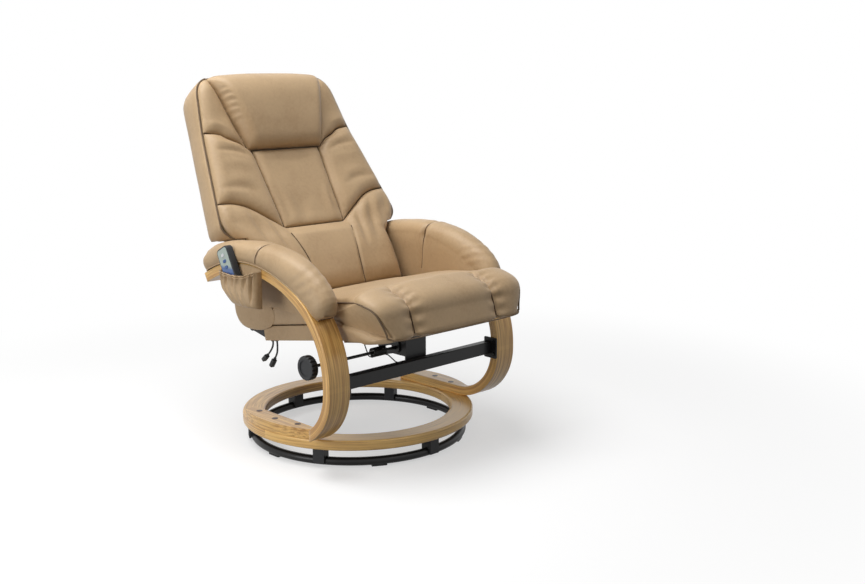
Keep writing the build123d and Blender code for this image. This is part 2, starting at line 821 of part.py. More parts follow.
def cushion_plan():
    """Plan view of the cushion in (x, v): straight sides between the arms, wider in front of them."""
    front = cushion_front_v - cut_over
    right = Polyline((cushion_half_w, cushion_rear_v + cut_over), (cushion_half_w, cushion_flare_start_v),
                     (cushion_front_half_w, cushion_flare_v), (cushion_front_half_w, front),
                     (-cushion_front_half_w, front), (-cushion_front_half_w, cushion_flare_v),
                     (-cushion_half_w, cushion_flare_start_v), (-cushion_half_w, cushion_rear_v + cut_over),
                     (cushion_half_w, cushion_rear_v + cut_over))
    face = make_face(right)
    front_corners = face.vertices().filter_by(lambda vertex: vertex.Y < cushion_flare_v)
    face = fillet(front_corners, cushion_corner_r)
    flare_corners = face.vertices().filter_by(
        lambda vertex: min(abs(vertex.Y - cushion_flare_v), abs(vertex.Y - cushion_flare_start_v)) < cut_over)
    return fillet(flare_corners, cushion_corner_r)


def seat_cushion():
    side = cushion_face()
    reach = cushion_front_half_w + cut_over
    plan = Pos(0, 0, cushion_under_w - cut_over) * extrude(cushion_plan(), cushion_top_w + 3 * cut_over)
    body = profile_x(side, -reach, reach) & plan
    rim = body.edges().filter_by(lambda edge: edge.center().Z > cushion_rear_top_w / 2
                                 or edge.center().Y < cushion_flare_v)
    rim = rim.filter_by(lambda edge: edge.center().Y < cushion_rear_v - shaft_gap)
    body = fillet(rim.filter_by(lambda edge: abs(edge.center().X) > channel_x), cushion_edge_r)
    kept = profile_x(offset(side, -channel_depth), -reach, reach)
    for x in (-channel_x, channel_x):
        channel = block(x - channel_w / 2, x + channel_w / 2, cushion_front_v - cut_over, channel_rear_v,
                        cushion_under_w - cut_over, cushion_top_w + cut_over)
        body -= channel - kept
    return on_seat(body)


def seat_plate():
    top = -cover_t
    plate = block(-plate_half_w, plate_half_w, plate_front_v, plate_rear_v, top - plate_t, top)
    plate = fillet(plate.edges().filter_by(Axis.Z), plate_round)
    inner_x = bracket_half_w + side_gap
    ear = profile_x(ear_face(top), inner_x, inner_x + ear_t)
    return on_seat(plate + ear + other_side(ear))


def rod_in_seat(recline):
    """Where the lock rod stands in the seat's frame when the back leans by this many degrees."""
    lean = math.radians(recline)
    settle = math.radians((seat_ratio - 1) * recline)
    dy = hinge_y - back_pivot_y
    dz = hinge_z - back_pivot_z
    new_y = back_pivot_y + dy * math.cos(lean) + dz * math.sin(lean)
    new_z = back_pivot_z - dy * math.sin(lean) + dz * math.cos(lean)
    ry = rod_y - new_y
    rz = rod_z - new_z
    back_y = hinge_y + ry * math.cos(settle) + rz * math.sin(settle)
    back_z = hinge_z - ry * math.sin(settle) + rz * math.cos(settle)
    point = seat_plane.to_local_coords(Vector(0, back_y, back_z))
    return (point.Y, point.Z)


def slot_path():
    """Centre line of the slot: the rod's way through the seat plate's ears."""
    return ThreePointArc(rod_in_seat(-slot_over), rod_in_seat(recline_limit / 2),
                         rod_in_seat(recline_limit + slot_over))


def ear_face(top):
    """One ear in (v, w), with its slot."""
    path = slot_path()
    radius = rod_d / 2 + slot_gap
    rim = radius + ear_rim
    start = path @ 0
    end = path @ 1
    outline = make_hull([
        *(Pos(start.X, start.Y) * Circle(rim)).edges(),
        *(Pos(end.X, end.Y) * Circle(rim)).edges(),
        Line((start.X - rim, top), (end.X + 2 * rim, top)),
    ])
    return outline - SlotArc(path, 2 * radius)


def hinge_local():
    """The seat hinge in the seat's frame."""
    point = seat_plane.to_local_coords(Vector(0, hinge_y, hinge_z))
    return (point.Y, point.Z)


def seat_hinge_arms():
    eye_v, eye_w = hinge_local()
    inner = frame_half_w
    root = make_face(Polyline((arm_root_v, side_gap), (arm_root_v, arm_root_h), (frame_rear_v, arm_root_h),
                              (frame_rear_v, side_gap), (arm_root_v, side_gap)))
    reach = make_hull([
        *(Pos(eye_v, eye_w) * Circle(arm_eye_r)).edges(),
        Line((frame_rear_v - arm_eye_r, side_gap), (frame_rear_v - arm_eye_r, arm_root_h)),
    ])
    face = root + reach
    face -= Pos(eye_v, eye_w) * Circle(pin_d / 2 + shaft_gap)
    arm = seat_profile(face, inner, inner + arm_t)
    return joined([arm, other_side(arm)])


def hinge_pins():
    inner = frame_half_w - pin_head_t - rest_gap
    outer = bracket_plate_x + bracket_plate_t + rest_gap
    pin = rod_x(hinge_y, hinge_z, pin_d / 2, inner, outer + pin_head_t)
    pin += rod_x(hinge_y, hinge_z, pin_head_d / 2, outer, outer + pin_head_t)
    pin += rod_x(hinge_y, hinge_z, pin_head_d / 2, inner, inner + pin_head_t)
    return joined([pin, other_side(pin)])


def seat_piping():
    """Piping on the cushion's upper side edges, from the rear down to the nose."""
    inset = cushion_edge_r - (cushion_edge_r + seat_pipe_d / 2 + rest_gap) / math.sqrt(2)
    near = cushion_half_w - inset
    far = cushion_front_half_w - inset
    crown, brow, nose = cushion_front_profile
    fall = (brow[1] - nose[1]) / (brow[0] - nose[0])
    flare = (far - near) / (cushion_flare_start_v - cushion_flare_v)
    edge_w = brow[1] - (brow[0] - cushion_flare_v) * fall - inset
    rear_v = cushion_rear_v - 2 * cushion_edge_r
    rear_w = crown[1] - (crown[1] - cushion_rear_top_w) * (rear_v - crown[0]) / (cushion_rear_v - crown[0])
    start_w = crown[1] + (brow[1] - crown[1]) * (crown[0] - cushion_flare_start_v) / (crown[0] - brow[0])
    points = [(near, rear_v, rear_w - inset), (near, crown[0], crown[1] - inset),
              (near, cushion_flare_start_v, start_w - inset),
              (near + flare * (cushion_flare_start_v - brow[0]), brow[0], brow[1] - inset),
              (far, cushion_flare_v, edge_w), (far, nose[0] - inset, nose[1]),
              (far, cushion_front_v, cushion_edge_r)]
    path = FilletPolyline(*points, radius=cushion_edge_r)
    section = Plane(origin=path @ 0, z_dir=path % 0) * Circle(seat_pipe_d / 2)
    pipe = on_seat(sweep(section, path=path))
    return joined([pipe, other_side(pipe)])


def seat_motor():
    """Vibration motors under the webbing."""
    motors = []
    top = frame_h - rest_gap
    for x in (-strap_pitch, strap_pitch):
        v = frame_cross_v - motor_d / 2 - side_gap
        can = rod_z_between(x, v, motor_d / 2, top - motor_t, top)
        can += rod_z_between(x, v, motor_boss_d / 2, top - motor_t - motor_boss_t, top)
        motors.append(on_seat(can))
    return joined(motors)


def control_box():
    x0 = -(frame_half_w - frame_rail_t) + rest_gap
    box = block(x0, x0 + box_w, box_rear_v - box_l, box_rear_v, rest_gap, box_h)
    return on_seat(fillet(box.edges().filter_by(Axis.Z), box_round))


def lead_route(index):
    """Points of one lead in the chair's frame: through the cover, then hanging."""
    start = seat_plane.from_local_coords(Vector(lead_x, lead_v[index], lead_start_w))
    below = seat_plane.from_local_coords(Vector(lead_x, lead_v[index], lead_drop_w))
    return [start, below] + [below + Vector(*step) for step in lead_steps[index]]


def bend_radii(points, name):
    """Arc at each inner point: as large as its two runs allow."""
    radii = []
    for before, here, after in zip(points, points[1:], points[2:]):
        run_in = here - before
        run_out = after - here
        turn = math.radians(run_in.get_angle(run_out))
        radii.append(lead_bend_share * min(run_in.length, run_out.length) / math.tan(turn / 2))
    print(name, "bend radii", [round(radius, 1) for radius in radii])
    return radii


def lead(index, name):
    points = lead_route(index)
    path = FilletPolyline(*points, radius=bend_radii(points, name))
    section = Plane(origin=path @ 0, z_dir=path % 0) * Circle(lead_d / 2)
    tube = sweep(section, path=path)
    print(name, "length", round(path.length, 1), "volume share",
          round(tube.volume / (path.length * math.pi * lead_d ** 2 / 4), 4))
    return tube


def lead_connectors():
    plugs = []
    for index in range(len(lead_v)):
        points = lead_route(index)
        down = (points[-1] - points[-2]).normalized()
        frame = Plane(origin=points[-1], z_dir=down)
        body = Pos(0, 0, plug_neck_l + plug_l / 2) * Box(plug_w, plug_t, plug_l)
        body = fillet(body.edges().filter_by(Axis.Z), plug_round)
        body += extrude(Circle(plug_neck_d / 2), plug_neck_l)
        body -= Pos(0, 0, plug_neck_l + plug_l - plug_neck_l) * extrude(Circle(lead_d / 2), plug_neck_l + cut_over)
        plugs.append(frame * body)
    return joined(plugs)


def lead_grommets():
    rings = []
    for v in lead_v:
        ring = rod_z_between(lead_x, v, grommet_d / 2, -cover_t - grommet_t, -cover_t)
        ring -= rod_z_between(lead_x, v, lead_d / 2 + shaft_gap, -cut_over, cut_over)
        rings.append(on_seat(ring))
    return joined(rings)


# Back

def on_back(shape):
    """From the back's tilted frame to the chair's frame."""
    return back_plane.location * shape


def back_outline(inset, low_s):
    """Front view of the back in (x, s): narrow between the arms, hips above them, tapering up."""
    half = [(back_low_half_w - inset, low_s + inset), (back_low_half_w - inset, back_waist_s + inset / 2),
            (back_hip_x - inset, back_hip_s), (back_top_x - inset, back_top_s - inset)]
    points = half + [(-x, s) for x, s in reversed(half)]
    face = make_face(Polyline(*points, points[0]))
    waist = face.vertices().filter_by(lambda vertex: abs(vertex.Y - half[1][1]) < shaft_gap)
    face = fillet(waist, back_waist_r)
    hips = face.vertices().filter_by(lambda vertex: abs(vertex.Y - half[2][1]) < shaft_gap)
    face = fillet(hips, back_hip_r)
    corners = face.vertices().filter_by(lambda vertex: abs(vertex.Y - half[3][1]) < shaft_gap)
    return fillet(corners, back_corner_r - inset)


def back_body(inset, over):
    """The back's volume in its own frame: a slab with soft rear edges, thicker behind the seat."""
    front = over
    slab = Pos(0, 0, -back_depth + inset) * extrude(back_outline(inset, back_low_s), back_depth - inset + front)
    slab = fillet(slab.edges().group_by(Axis.Z)[0], back_rear_round - inset)
    half = back_low_half_w - inset
    rear = -back_depth + inset
    points = [(back_low_s + inset, front), (back_flare_s, front), (back_flare_s, rear),
              (back_low_s + inset, rear - back_flare)]
    foot = extrude(make_face(Polyline(*points, points[0])), 2 * half)
    foot = Plane(origin=(-half, 0, 0), x_dir=(0, 1, 0), z_dir=(1, 0, 0)) * foot
    corners = foot.edges().filter_by(lambda edge: edge.center().Z < rear - back_flare / 4
                                     and abs(edge.center().X) > half - cut_over)
    return slab + fillet(corners, back_rear_round - inset)


def arm_clearance():
    """What the hips of the back stay out of at every angle of recline, in the chair's frame."""
    inner = back_low_half_w + rest_gap
    outer = back_hip_x + cut_over
    swing = rod_x(back_pivot_y, back_pivot_z, arm_pad_clear_r + back_clear_gap, inner, outer)
    crest = [rail_point(share, height * arm_pad_h + back_clear_gap) for share, height in arm_crest_shares]
    over_pad = profile_x(make_face([
        ThreePointArc(*crest),
        Line(crest[2], rail_point(arm_crest_shares[2][0], 0)),
        Line(rail_point(arm_crest_shares[2][0], 0), rail_point(arm_crest_shares[0][0], 0)),
        Line(rail_point(arm_crest_shares[0][0], 0), crest[0]),
    ]), inner, outer)
    half = swing + over_pad
    return [half, other_side(half)]


def back_shell():
    shell = back_body(0, 0) - back_body(back_wall, cut_over)
    for side in (-1, 1):
        for s in bracket_screw_s:
            shell -= Plane.YZ * Pos(s, back_tube_o) * extrude(Circle(bracket_screw_d / 2 + shaft_gap),
                                                              side * (back_low_half_w + cut_over))
    shell = on_back(shell)
    recess = rod_x(back_pivot_y, back_pivot_z, pivot_head_d / 2 + side_gap, back_low_half_w - back_wall - cut_over,
                   back_low_half_w + cut_over)
    for cutter in [*arm_clearance(), recess, other_side(recess)]:
        shell -= cutter
    return shell


def back_frame():
    x = back_low_half_w - back_wall - rest_gap - back_tube_d / 2
    path = FilletPolyline((x, back_tube_foot_s, back_tube_o), (x, back_tube_top_s, back_tube_o),
                          (-x, back_tube_top_s, back_tube_o), (-x, back_tube_foot_s, back_tube_o),
                          radius=back_tube_bend_r)
    section = Plane(origin=path @ 0, z_dir=path % 0) * Circle(back_tube_d / 2)
    tube = sweep(section, path=path)
    lower = Plane.YZ.offset(-x) * Pos(back_tube_foot_s + back_tube_d, back_tube_o) * extrude(
        Circle(back_tube_d / 2), 2 * x)
    tube += lower
    for side in (-1, 1):
        for s in bracket_screw_s:
            tube -= Plane.YZ.offset(side * x) * Pos(s, back_tube_o) * extrude(
                Circle(bracket_screw_d / 2 + shaft_gap), side * back_tube_d)
    return on_back(tube)


def back_webbing():
    x = back_low_half_w - back_wall - rest_gap
    level = back_tube_o + back_tube_d / 2 + rest_gap
    straps = []
    for index in range(back_strap_count):
        s = back_strap_first_s + index * back_strap_pitch
        straps.append(on_back(block(-x, x, s - back_strap_w / 2, s + back_strap_w / 2, level,
                                    level + back_strap_t)))
    return joined(straps)


def heating_pad():
    level = back_tube_o + back_tube_d / 2 + back_strap_t + 2 * rest_gap
    pad = block(-heat_half_w, heat_half_w, heat_low_s, heat_high_s, level, level + heat_t)
    return on_back(fillet(pad.edges().filter_by(Axis.Z), back_waist_r))


def back_motors():
    motors = []
    top = back_tube_o + back_tube_d / 2
    for s in back_motor_s:
        for x in (-back_motor_x, back_motor_x):
            can = rod_z_between(x, s, motor_d / 2, top - motor_t, top)
            can += rod_z_between(x, s, motor_boss_d / 2, top - motor_t - motor_boss_t, top)
            motors.append(on_back(can))
    return joined(motors)


def outline_x(s):
    """Half width of the back's outline at a height above the hips."""
    share = (s - back_hip_s) / (back_top_s - back_hip_s)
    return back_hip_x + (back_top_x - back_hip_x) * share


def panel_x(s):
    """Half width of the centre panel at a height."""
    share = (s - panel_low_s) / (panel_high_s - panel_low_s)
    return panel_low_half_w + (panel_high_half_w - panel_low_half_w) * share


def seam_points(seam, shift):
    """A wing's seam from the panel's edge to the outline, moved along s."""
    points = []
    for share, s in seam:
        inner = panel_x(s) + seam_gap
        outer = outline_x(s) - pad_inset
        points.append((inner + (outer - inner) * share, s + shift))
    return points


def padded(face, height, rounding):
    """A crowned pad on the rim of the shell, its front edges drawn in."""
    pad = Pos(0, 0, rest_gap) * extrude(face, height)
    front = pad.edges().group_by(Axis.Z)[-1]
    return fillet(front, rounding)


def back_centre_pad():
    low = panel_low_s + seam_gap
    high = panel_high_s
    face = make_face(Polyline((panel_x(low), low), (panel_x(high), high), (-panel_x(high), high),
                              (-panel_x(low), low), (panel_x(low), low)))
    face = fillet(face.vertices(), panel_round)
    return on_back(padded(face, panel_h, panel_round))


def middle_wing(side):
    lower = seam_points(lower_seam, seam_gap)
    upper = seam_points(upper_seam, -seam_gap)
    face = make_face([Spline(*lower), Line(lower[-1], upper[-1]), Spline(*upper), Line(upper[0], lower[0])])
    pad = on_back(padded(face, wing_h, wing_round))
    return pad if side > 0 else other_side(pad)


def pillow_x(s):
    """Half width of the head pillow at a height."""
    share = (s - pillow_low_s) / (back_top_s - pillow_low_s)
    return pillow_low_half_w + (pillow_high_half_w - pillow_low_half_w) * share


def upper_wing(side):
    seam = seam_points(upper_seam, seam_gap)
    inner_low = (pillow_low_half_w + 2 * seam_gap, pillow_low_s + seam_gap)
    seam[0] = inner_low
    high = back_top_s - back_corner_r / 2
    inner_high = (pillow_x(high) + seam_gap, high)
    outer_high = (outline_x(high) - pad_inset - back_corner_r / 4, high)
    outer_mid_s = back_top_s - back_corner_r * 1.4
    outer_mid = (outline_x(outer_mid_s) - pad_inset, outer_mid_s)
    face = make_face([Spline(*seam), Line(seam[-1], outer_mid), Line(outer_mid, outer_high),
                      Line(outer_high, inner_high), Line(inner_high, inner_low)])
    pad = on_back(padded(face, upper_wing_h, upper_wing_round))
    return pad if side > 0 else other_side(pad)


def lumbar_pad():
    seam = seam_points(lower_seam, -seam_gap)
    low = back_low_s + pad_inset
    hip = (back_hip_x - pad_inset - back_hip_r / 3, back_hip_s)
    waist = (lumbar_half_w, back_waist_s)
    right = [(lumbar_half_w, low), waist, hip]
    hip_top = seam[-1]
    mirrored_seam = [(-x, s) for x, s in seam]
    face = make_face([
        Line((-lumbar_half_w, low), right[0]), Line(right[0], right[1]), Line(right[1], right[2]),
        Line(right[2], hip_top), Spline(*seam), Line(seam[0], mirrored_seam[0]), Spline(*mirrored_seam),
        Line((-hip_top[0], hip_top[1]), (-hip[0], hip[1])), Line((-hip[0], hip[1]), (-waist[0], waist[1])),
        Line((-waist[0], waist[1]), (-lumbar_half_w, low)),
    ])
    pad = padded(face, lumbar_h, lumbar_round)
    top = rest_gap + lumbar_h
    for side in (-1, 1):
        x = side * lumbar_seam_x
        pad -= block(x - lumbar_seam_w / 2, x + lumbar_seam_w / 2, low, low + lumbar_seam_h,
                     top - lumbar_seam_depth, top + cut_over)
    pad = on_back(pad)
    for cutter in arm_clearance():
        pad -= cutter
    return pad


def head_pillow():
    """A roll that bulges forward and wraps over the top of the back."""
    low = pillow_low_s - cut_over
    high = pillow_top_s + cut_over
    front = make_face(Polyline((pillow_x(low), low), (pillow_x(high), high), (-pillow_x(high), high),
                               (-pillow_x(low), low), (pillow_x(low), low)))
    prism = Pos(0, 0, pillow_rear_o - cut_over) * extrude(front, pillow_h - pillow_rear_o + 3 * cut_over)
    over = back_top_s + rest_gap
    points = [(over, rest_gap), (pillow_low_s, rest_gap), *pillow_profile, (pillow_top_s, pillow_rear_o),
              (over, pillow_rear_o)]
    side = make_face(Polyline(*points, points[0]))
    for corner, radius in zip(pillow_profile, pillow_profile_radii):
        nearest = side.vertices().sort_by_distance((corner[0], corner[1], 0))[0]
        side = fillet(nearest, radius)
    reach = pillow_x(high) + cut_over
    roll = Plane(origin=(-reach, 0, 0), x_dir=(0, 1, 0), z_dir=(1, 0, 0)) * extrude(side, 2 * reach)
    pillow = prism & roll
    ends = pillow.faces().filter_by(lambda face: abs(face.normal_at().X) > 0.9)
    front_edges = ends.edges().filter_by(lambda edge: edge.length > pillow_h and edge.center().Z > rest_gap)
    return on_back(fillet(front_edges.filter_by(lambda edge: edge.center().Z > pillow_round), pillow_round))


def back_piping():
    """Piping down each side, on the seam between the shell and the front pads."""
    inset = back_pipe_d / 2
    level = rest_gap + back_pipe_d / 2
    top_s = back_top_s - back_corner_r
    path = FilletPolyline((outline_x(top_s) - inset, top_s, level), (back_hip_x - inset - rest_gap, back_hip_s, level),
                          (back_low_half_w - inset, back_waist_s + inset / 2, level),
                          (back_low_half_w - inset, back_low_s + pad_inset, level),
                          radius=(back_hip_r, back_waist_r))
    section = Plane(origin=path @ 0, z_dir=path % 0) * Circle(back_pipe_d / 2)
    pipe = on_back(sweep(section, path=path))
    pipe -= arm_clearance()[0]
    return joined([pipe, other_side(pipe)])


def bracket_screw_places():
    """Bracket screws in the chair's (y, z)."""
    places = []
    for s in bracket_screw_s:
        point = back_plane.from_local_coords(Vector(0, s, back_tube_o))
        places.append((point.Y, point.Z))
    return places


def back_brackets():
    screws = bracket_screw_places()
    outline = make_hull([
        *(Pos(back_pivot_y, back_pivot_z) * Circle(plate_eye_r)).edges(),
        *(Pos(hinge_y, hinge_z) * Circle(plate_foot_r)).edges(),
        *(Pos(*screws[0]) * Circle(plate_screw_r)).edges(),
        *(Pos(*screws[1]) * Circle(plate_screw_r)).edges(),
    ])
    outline -= Pos(back_pivot_y, back_pivot_z) * Circle(pivot_d / 2 + shaft_gap)
    outline -= Pos(hinge_y, hinge_z) * Circle(pin_d / 2 + shaft_gap)
    for y, z in screws:
        outline -= Pos(y, z) * Circle(bracket_screw_d / 2 + shaft_gap)
    plate = profile_x(outline, bracket_plate_x, bracket_plate_x + bracket_plate_t)
    return joined([plate, other_side(plate)])


def bracket_screws():
    outer = bracket_plate_x + bracket_plate_t
    inner = back_low_half_w - back_wall - back_tube_d / 2
    screws = []
    for y, z in bracket_screw_places():
        screw = rod_x(y, z, bracket_screw_d / 2, inner, outer + bracket_screw_head_t)
        screw += rod_x(y, z, bracket_screw_head_d / 2, outer, outer + bracket_screw_head_t)
        screws += [screw, other_side(screw)]
    return joined(screws)


def pivot_bolts():
    """Shoulder bolts in the rails' rear ends; the brackets turn on their shoulders."""
    plate_out = bracket_plate_x + bracket_plate_t
    head_x = bracket_plate_x - rest_gap - pivot_head_t
    bolt = rod_x(back_pivot_y, back_pivot_z, pivot_head_d / 2, head_x, head_x + pivot_head_t)
    bolt += rod_x(back_pivot_y, back_pivot_z, pivot_d / 2, head_x, plate_out + rest_gap)
    bolt += rod_x(back_pivot_y, back_pivot_z, pivot_washer_d / 2, plate_out + rest_gap, strip_inner_x)
    bolt += rod_x(back_pivot_y, back_pivot_z, pivot_thread_d / 2, plate_out, strip_inner_x + pivot_thread_l)
    return joined([bolt, other_side(bolt)])


# Arms

def rail_point(share, lift):
    """A point above the arm rail: share of its padded length from the front, and height over it."""
    knee_length = math.radians(arm_pad_start_angle - knee_end_angle) * knee_r
    rail_length = math.radians(knee_end_angle - rail_end_angle) * rail_r
    distance = share * (knee_length + rail_length)
    if distance < knee_length:
        return polar(knee_centre, knee_r + lift, arm_pad_start_angle - math.degrees(distance / knee_r))
    return polar(rail_centre, rail_r + lift, knee_end_angle - math.degrees((distance - knee_length) / rail_r))


def arm_pad_face():
    """Side view of an arm pad in (y, z), standing on the rail."""
    crown = [rail_point(share, height * arm_pad_h) for share, height in arm_crown_shares]
    front = rail_point(0, rest_gap)
    rear = rail_point(1, rest_gap)
    knee_turn = arm_pad_start_angle - knee_end_angle
    rail_turn = knee_end_angle - rail_end_angle
    return make_face([
        CenterArc(knee_centre, knee_r + rest_gap, knee_end_angle, knee_turn),
        CenterArc(rail_centre, rail_r + rest_gap, rail_end_angle, rail_turn),
        Spline(front, *crown, rear),
    ])


def arm_pad(side):
    pad = profile_x(arm_pad_face(), arm_pad_inner_x, arm_pad_outer_x)
    long_edges = pad.edges().filter_by(lambda edge: edge.length > 4 * arm_pad_h)
    top_edges = long_edges.filter_by(lambda edge: edge.center().Z > rail_point(0.5, rest_gap)[1])
    pad = fillet(top_edges, arm_pad_round)
    pad -= arm_seam_groove()
    pad -= arm_board_space()
    return pad if side > 0 else other_side(pad)


def arm_seam_groove():
    """A crease round the pad, square to the rail, where the two leather pieces meet."""
    foot = rail_point(arm_pad_seam_share, 0)
    tip = rail_point(arm_pad_seam_share, arm_pad_h)
    along = Vector(0, tip[0] - foot[0], tip[1] - foot[1]).normalized()
    frame = Plane(origin=(0, foot[0], foot[1]), x_dir=(1, 0, 0), z_dir=along)
    crown = arm_pad_h * arm_seam_crown
    slab = block(0, arm_pad_outer_x + cut_over, -arm_seam_w / 2, arm_seam_w / 2, -arm_pad_h, 2 * arm_pad_h)
    kept = block(arm_pad_inner_x + arm_seam_depth, arm_pad_outer_x - arm_seam_depth, -arm_seam_w,
                 arm_seam_w, -2 * arm_pad_h, crown - arm_seam_depth)
    upper = kept.edges().filter_by(Axis.Y).group_by(Axis.Z)[-1]
    return frame * (slab - fillet(upper, arm_pad_round - arm_seam_depth))


def ring_sector(inner, outer):
    """A stretch of the board's curve between its two end angles, in (y, z)."""
    high, low = board_angles
    return make_face([
        CenterArc(rail_centre, outer, low, high - low),
        Line(polar(rail_centre, outer, high), polar(rail_centre, inner, high)),
        CenterArc(rail_centre, inner, low, high - low),
        Line(polar(rail_centre, outer, low), polar(rail_centre, inner, low)),
    ])


def board_x():
    """The board's two sides, centred on the strip."""
    middle = strip_inner_x + strip_w / 2
    return middle - board_w / 2, middle + board_w / 2


def arm_board_space():
    """The pocket for the board in the pad's underside."""
    x0, x1 = board_x()
    grown = offset(ring_sector(rail_r - cut_over, rail_r + rest_gap + board_t), rest_gap)
    return profile_x(grown, x0 - rest_gap, x1 + rest_gap)


def arm_boards():
    x0, x1 = board_x()
    board = profile_x(ring_sector(rail_r + rest_gap, rail_r + rest_gap + board_t), x0, x1)
    for angle in board_screw_angles:
        board -= board_screw_hole(angle)
    return joined([board, other_side(board)])


def board_screw_frame(angle):
    """A frame under the rail that points outwards through it into the board."""
    y, z = polar(rail_centre, rail_r - strip_t, angle)
    turn = math.radians(angle)
    return Plane(origin=(strip_inner_x + strip_w / 2, y, z), z_dir=(0, math.cos(turn), math.sin(turn)))


def board_screw_hole(angle):
    frame = board_screw_frame(angle)
    hole = Pos(0, 0, -cut_over) * extrude(Circle(board_screw_d / 2 + shaft_gap),
                                          strip_t + rest_gap + board_t + 2 * cut_over)
    hole += Pos(0, 0, -cut_over) * extrude(Circle(board_screw_head_d / 2 + shaft_gap),
                                           board_screw_head_t + cut_over)
    return frame * hole


def arm_screws():
    screws = []
    for angle in board_screw_angles:
        frame = board_screw_frame(angle)
        screw = extrude(Circle(board_screw_d / 2), strip_t + board_t)
        screw += Pos(0, 0, rest_gap) * extrude(Circle(board_screw_head_d / 2), board_screw_head_t - rest_gap)
        screws += [frame * screw, other_side(frame * screw)]
    return joined(screws)


def arm_flap(side):
    """The leather side panel on the rail's inner face, down to the seat."""
    start = 180 - math.degrees(math.acos((knee_centre[0] - flap_front_y) / knee_r))
    front_top = polar(knee_centre, knee_r, start)
    rear_angle = math.degrees(math.acos((flap_rear_y - rail_centre[0]) / rail_r))
    rear_top = polar(rail_centre, rail_r, rear_angle)
    face = make_face([
        CenterArc(knee_centre, knee_r, knee_end_angle, start - knee_end_angle),
        CenterArc(rail_centre, rail_r, rear_angle, knee_end_angle - rear_angle),
        Line(rear_top, (flap_rear_y, flap_bottom_z)),
        Line((flap_rear_y, flap_bottom_z), (flap_front_y, flap_bottom_z)),
        Line((flap_front_y, flap_bottom_z), front_top),
    ])
    outer = strip_inner_x - rest_gap
    flap = profile_x(face, outer - flap_t, outer)
    flap = fillet(flap.edges().group_by(Axis.X)[0], flap_round)
    return flap if side > 0 else other_side(flap)


# Pocket and handset

def pocket_side_face(inset, top_z):
    """The pocket seen from the side in (y, z)."""
    points = [(pocket_front_y + inset, top_z), (pocket_rear_y - inset, top_z),
              (pocket_rear_y - inset, pocket_heel_z), (pocket_heel_y, pocket_bottom_z + inset),
              (pocket_front_y + inset, pocket_bottom_z + inset)]
    face = make_face(Polyline(*points, points[0]))
    low = face.vertices().filter_by(lambda vertex: vertex.Y < pocket_heel_z + shaft_gap)
    return fillet(low, pocket_floor_r - inset)


def pocket_plan(inset, grow):
    """The pocket seen from above in (x, y), open towards the rail."""
    outer = pocket_outer_x + inset - grow
    front = pocket_front_y + inset - grow
    rear = pocket_rear_y - inset + grow
    points = [(pocket_inner_x, front), (outer, front), (outer, rear), (pocket_inner_x, rear)]
    face = make_face(Polyline(*points, points[0]))
    bulge = face.vertices().filter_by(lambda vertex: vertex.X < pocket_outer_x + pocket_depth / 2)
    return fillet(bulge, pocket_corner_r - inset + grow)


def pocket_front():
    height = pocket_top_z - pocket_bottom_z
    outer = Pos(0, 0, pocket_bottom_z) * extrude(pocket_plan(0, 0), height)
    outer &= profile_x(pocket_side_face(0, pocket_top_z), pocket_outer_x, pocket_inner_x)
    inner = Pos(0, 0, pocket_bottom_z) * extrude(pocket_plan(pocket_wall, 0), height + cut_over)
    inner &= profile_x(pocket_side_face(pocket_wall, pocket_top_z + cut_over), pocket_outer_x, pocket_inner_x)
    return outer - inner


def pocket_back():
    return profile_x(pocket_side_face(0, pocket_top_z), pocket_inner_x, pocket_back_x)


def pocket_elastic():
    band = pocket_plan(0, rest_gap + hem_t) - pocket_plan(0, rest_gap)
    hem = Pos(0, 0, pocket_top_z - hem_h) * extrude(band, hem_h)
    return fillet(hem.edges().group_by(Axis.Z)[-1], hem_t / 3)


def handset_plane():
    """The handset's frame: origin where its centre line crosses the pocket's mouth, z along it."""
    turn = math.radians(handset_tilt)
    x = pocket_inner_x - handset_stand
    return Plane(origin=(x, handset_mid_y, pocket_top_z), x_dir=(0, math.cos(turn), -math.sin(turn)),
                 z_dir=(0, math.sin(turn), math.cos(turn)))


def handset_body(inset, y0, y1):
    """A rounded slab in the handset's frame: x across, y out of the pocket's back, z along."""
    low = handset_out - handset_l + inset
    high = handset_out - inset
    width = handset_w - 2 * inset
    slab = block(-width / 2, width / 2, y0, y1, low, high)
    return fillet(slab.edges().filter_by(Axis.Y), handset_corner_r - inset)


def button_centres():
    """Heights of the three buttons along the handset."""
    low = handset_out - handset_l
    return [low + handset_l * (button_first_share - index * button_pitch_share) for index in range(3)]


def button_shape(centre, grow):
    """One button: an oval cap and its stem, grown for its hole."""
    cap = Plane.XZ * RectangleRounded(button_w + 2 * grow, button_l + 2 * grow, button_l / 2 + grow - shaft_gap)
    depth = button_proud + button_stem + grow
    solid = extrude(cap, depth)
    return Pos(0, outward() * (handset_t + button_proud), centre) * solid


def outward():
    """Sign of the handset's y that points away from the chair."""
    return -1 if handset_plane().y_dir.X > 0 else 1


def handset_case():
    sign = outward()
    body = handset_body(0, min(0, sign * handset_t), max(0, sign * handset_t))
    rims = body.edges().filter_by(lambda edge: abs(edge.center().Y) < shaft_gap
                                  or abs(abs(edge.center().Y) - handset_t) < shaft_gap)
    body = fillet(rims, handset_round)
    floor = sign * (handset_t - face_t)
    top = sign * (handset_t + cut_over)
    body -= handset_body(face_inset - rest_gap / 3, min(floor, top), max(floor, top))
    for centre in button_centres():
        body -= button_hole(centre)
    return handset_plane().location * body


def button_hole(centre):
    """Clear space for a button's stem and its travel."""
    sign = outward()
    half_w = button_w / 2 + button_gap
    half_l = button_l / 2 + button_gap
    deep = sign * (handset_t - button_stem - button_travel - button_gap)
    top = sign * (handset_t + cut_over)
    hole = block(-half_w, half_w, min(deep, top), max(deep, top), centre - half_l, centre + half_l)
    return fillet(hole.edges().filter_by(Axis.Y), half_l - shaft_gap)


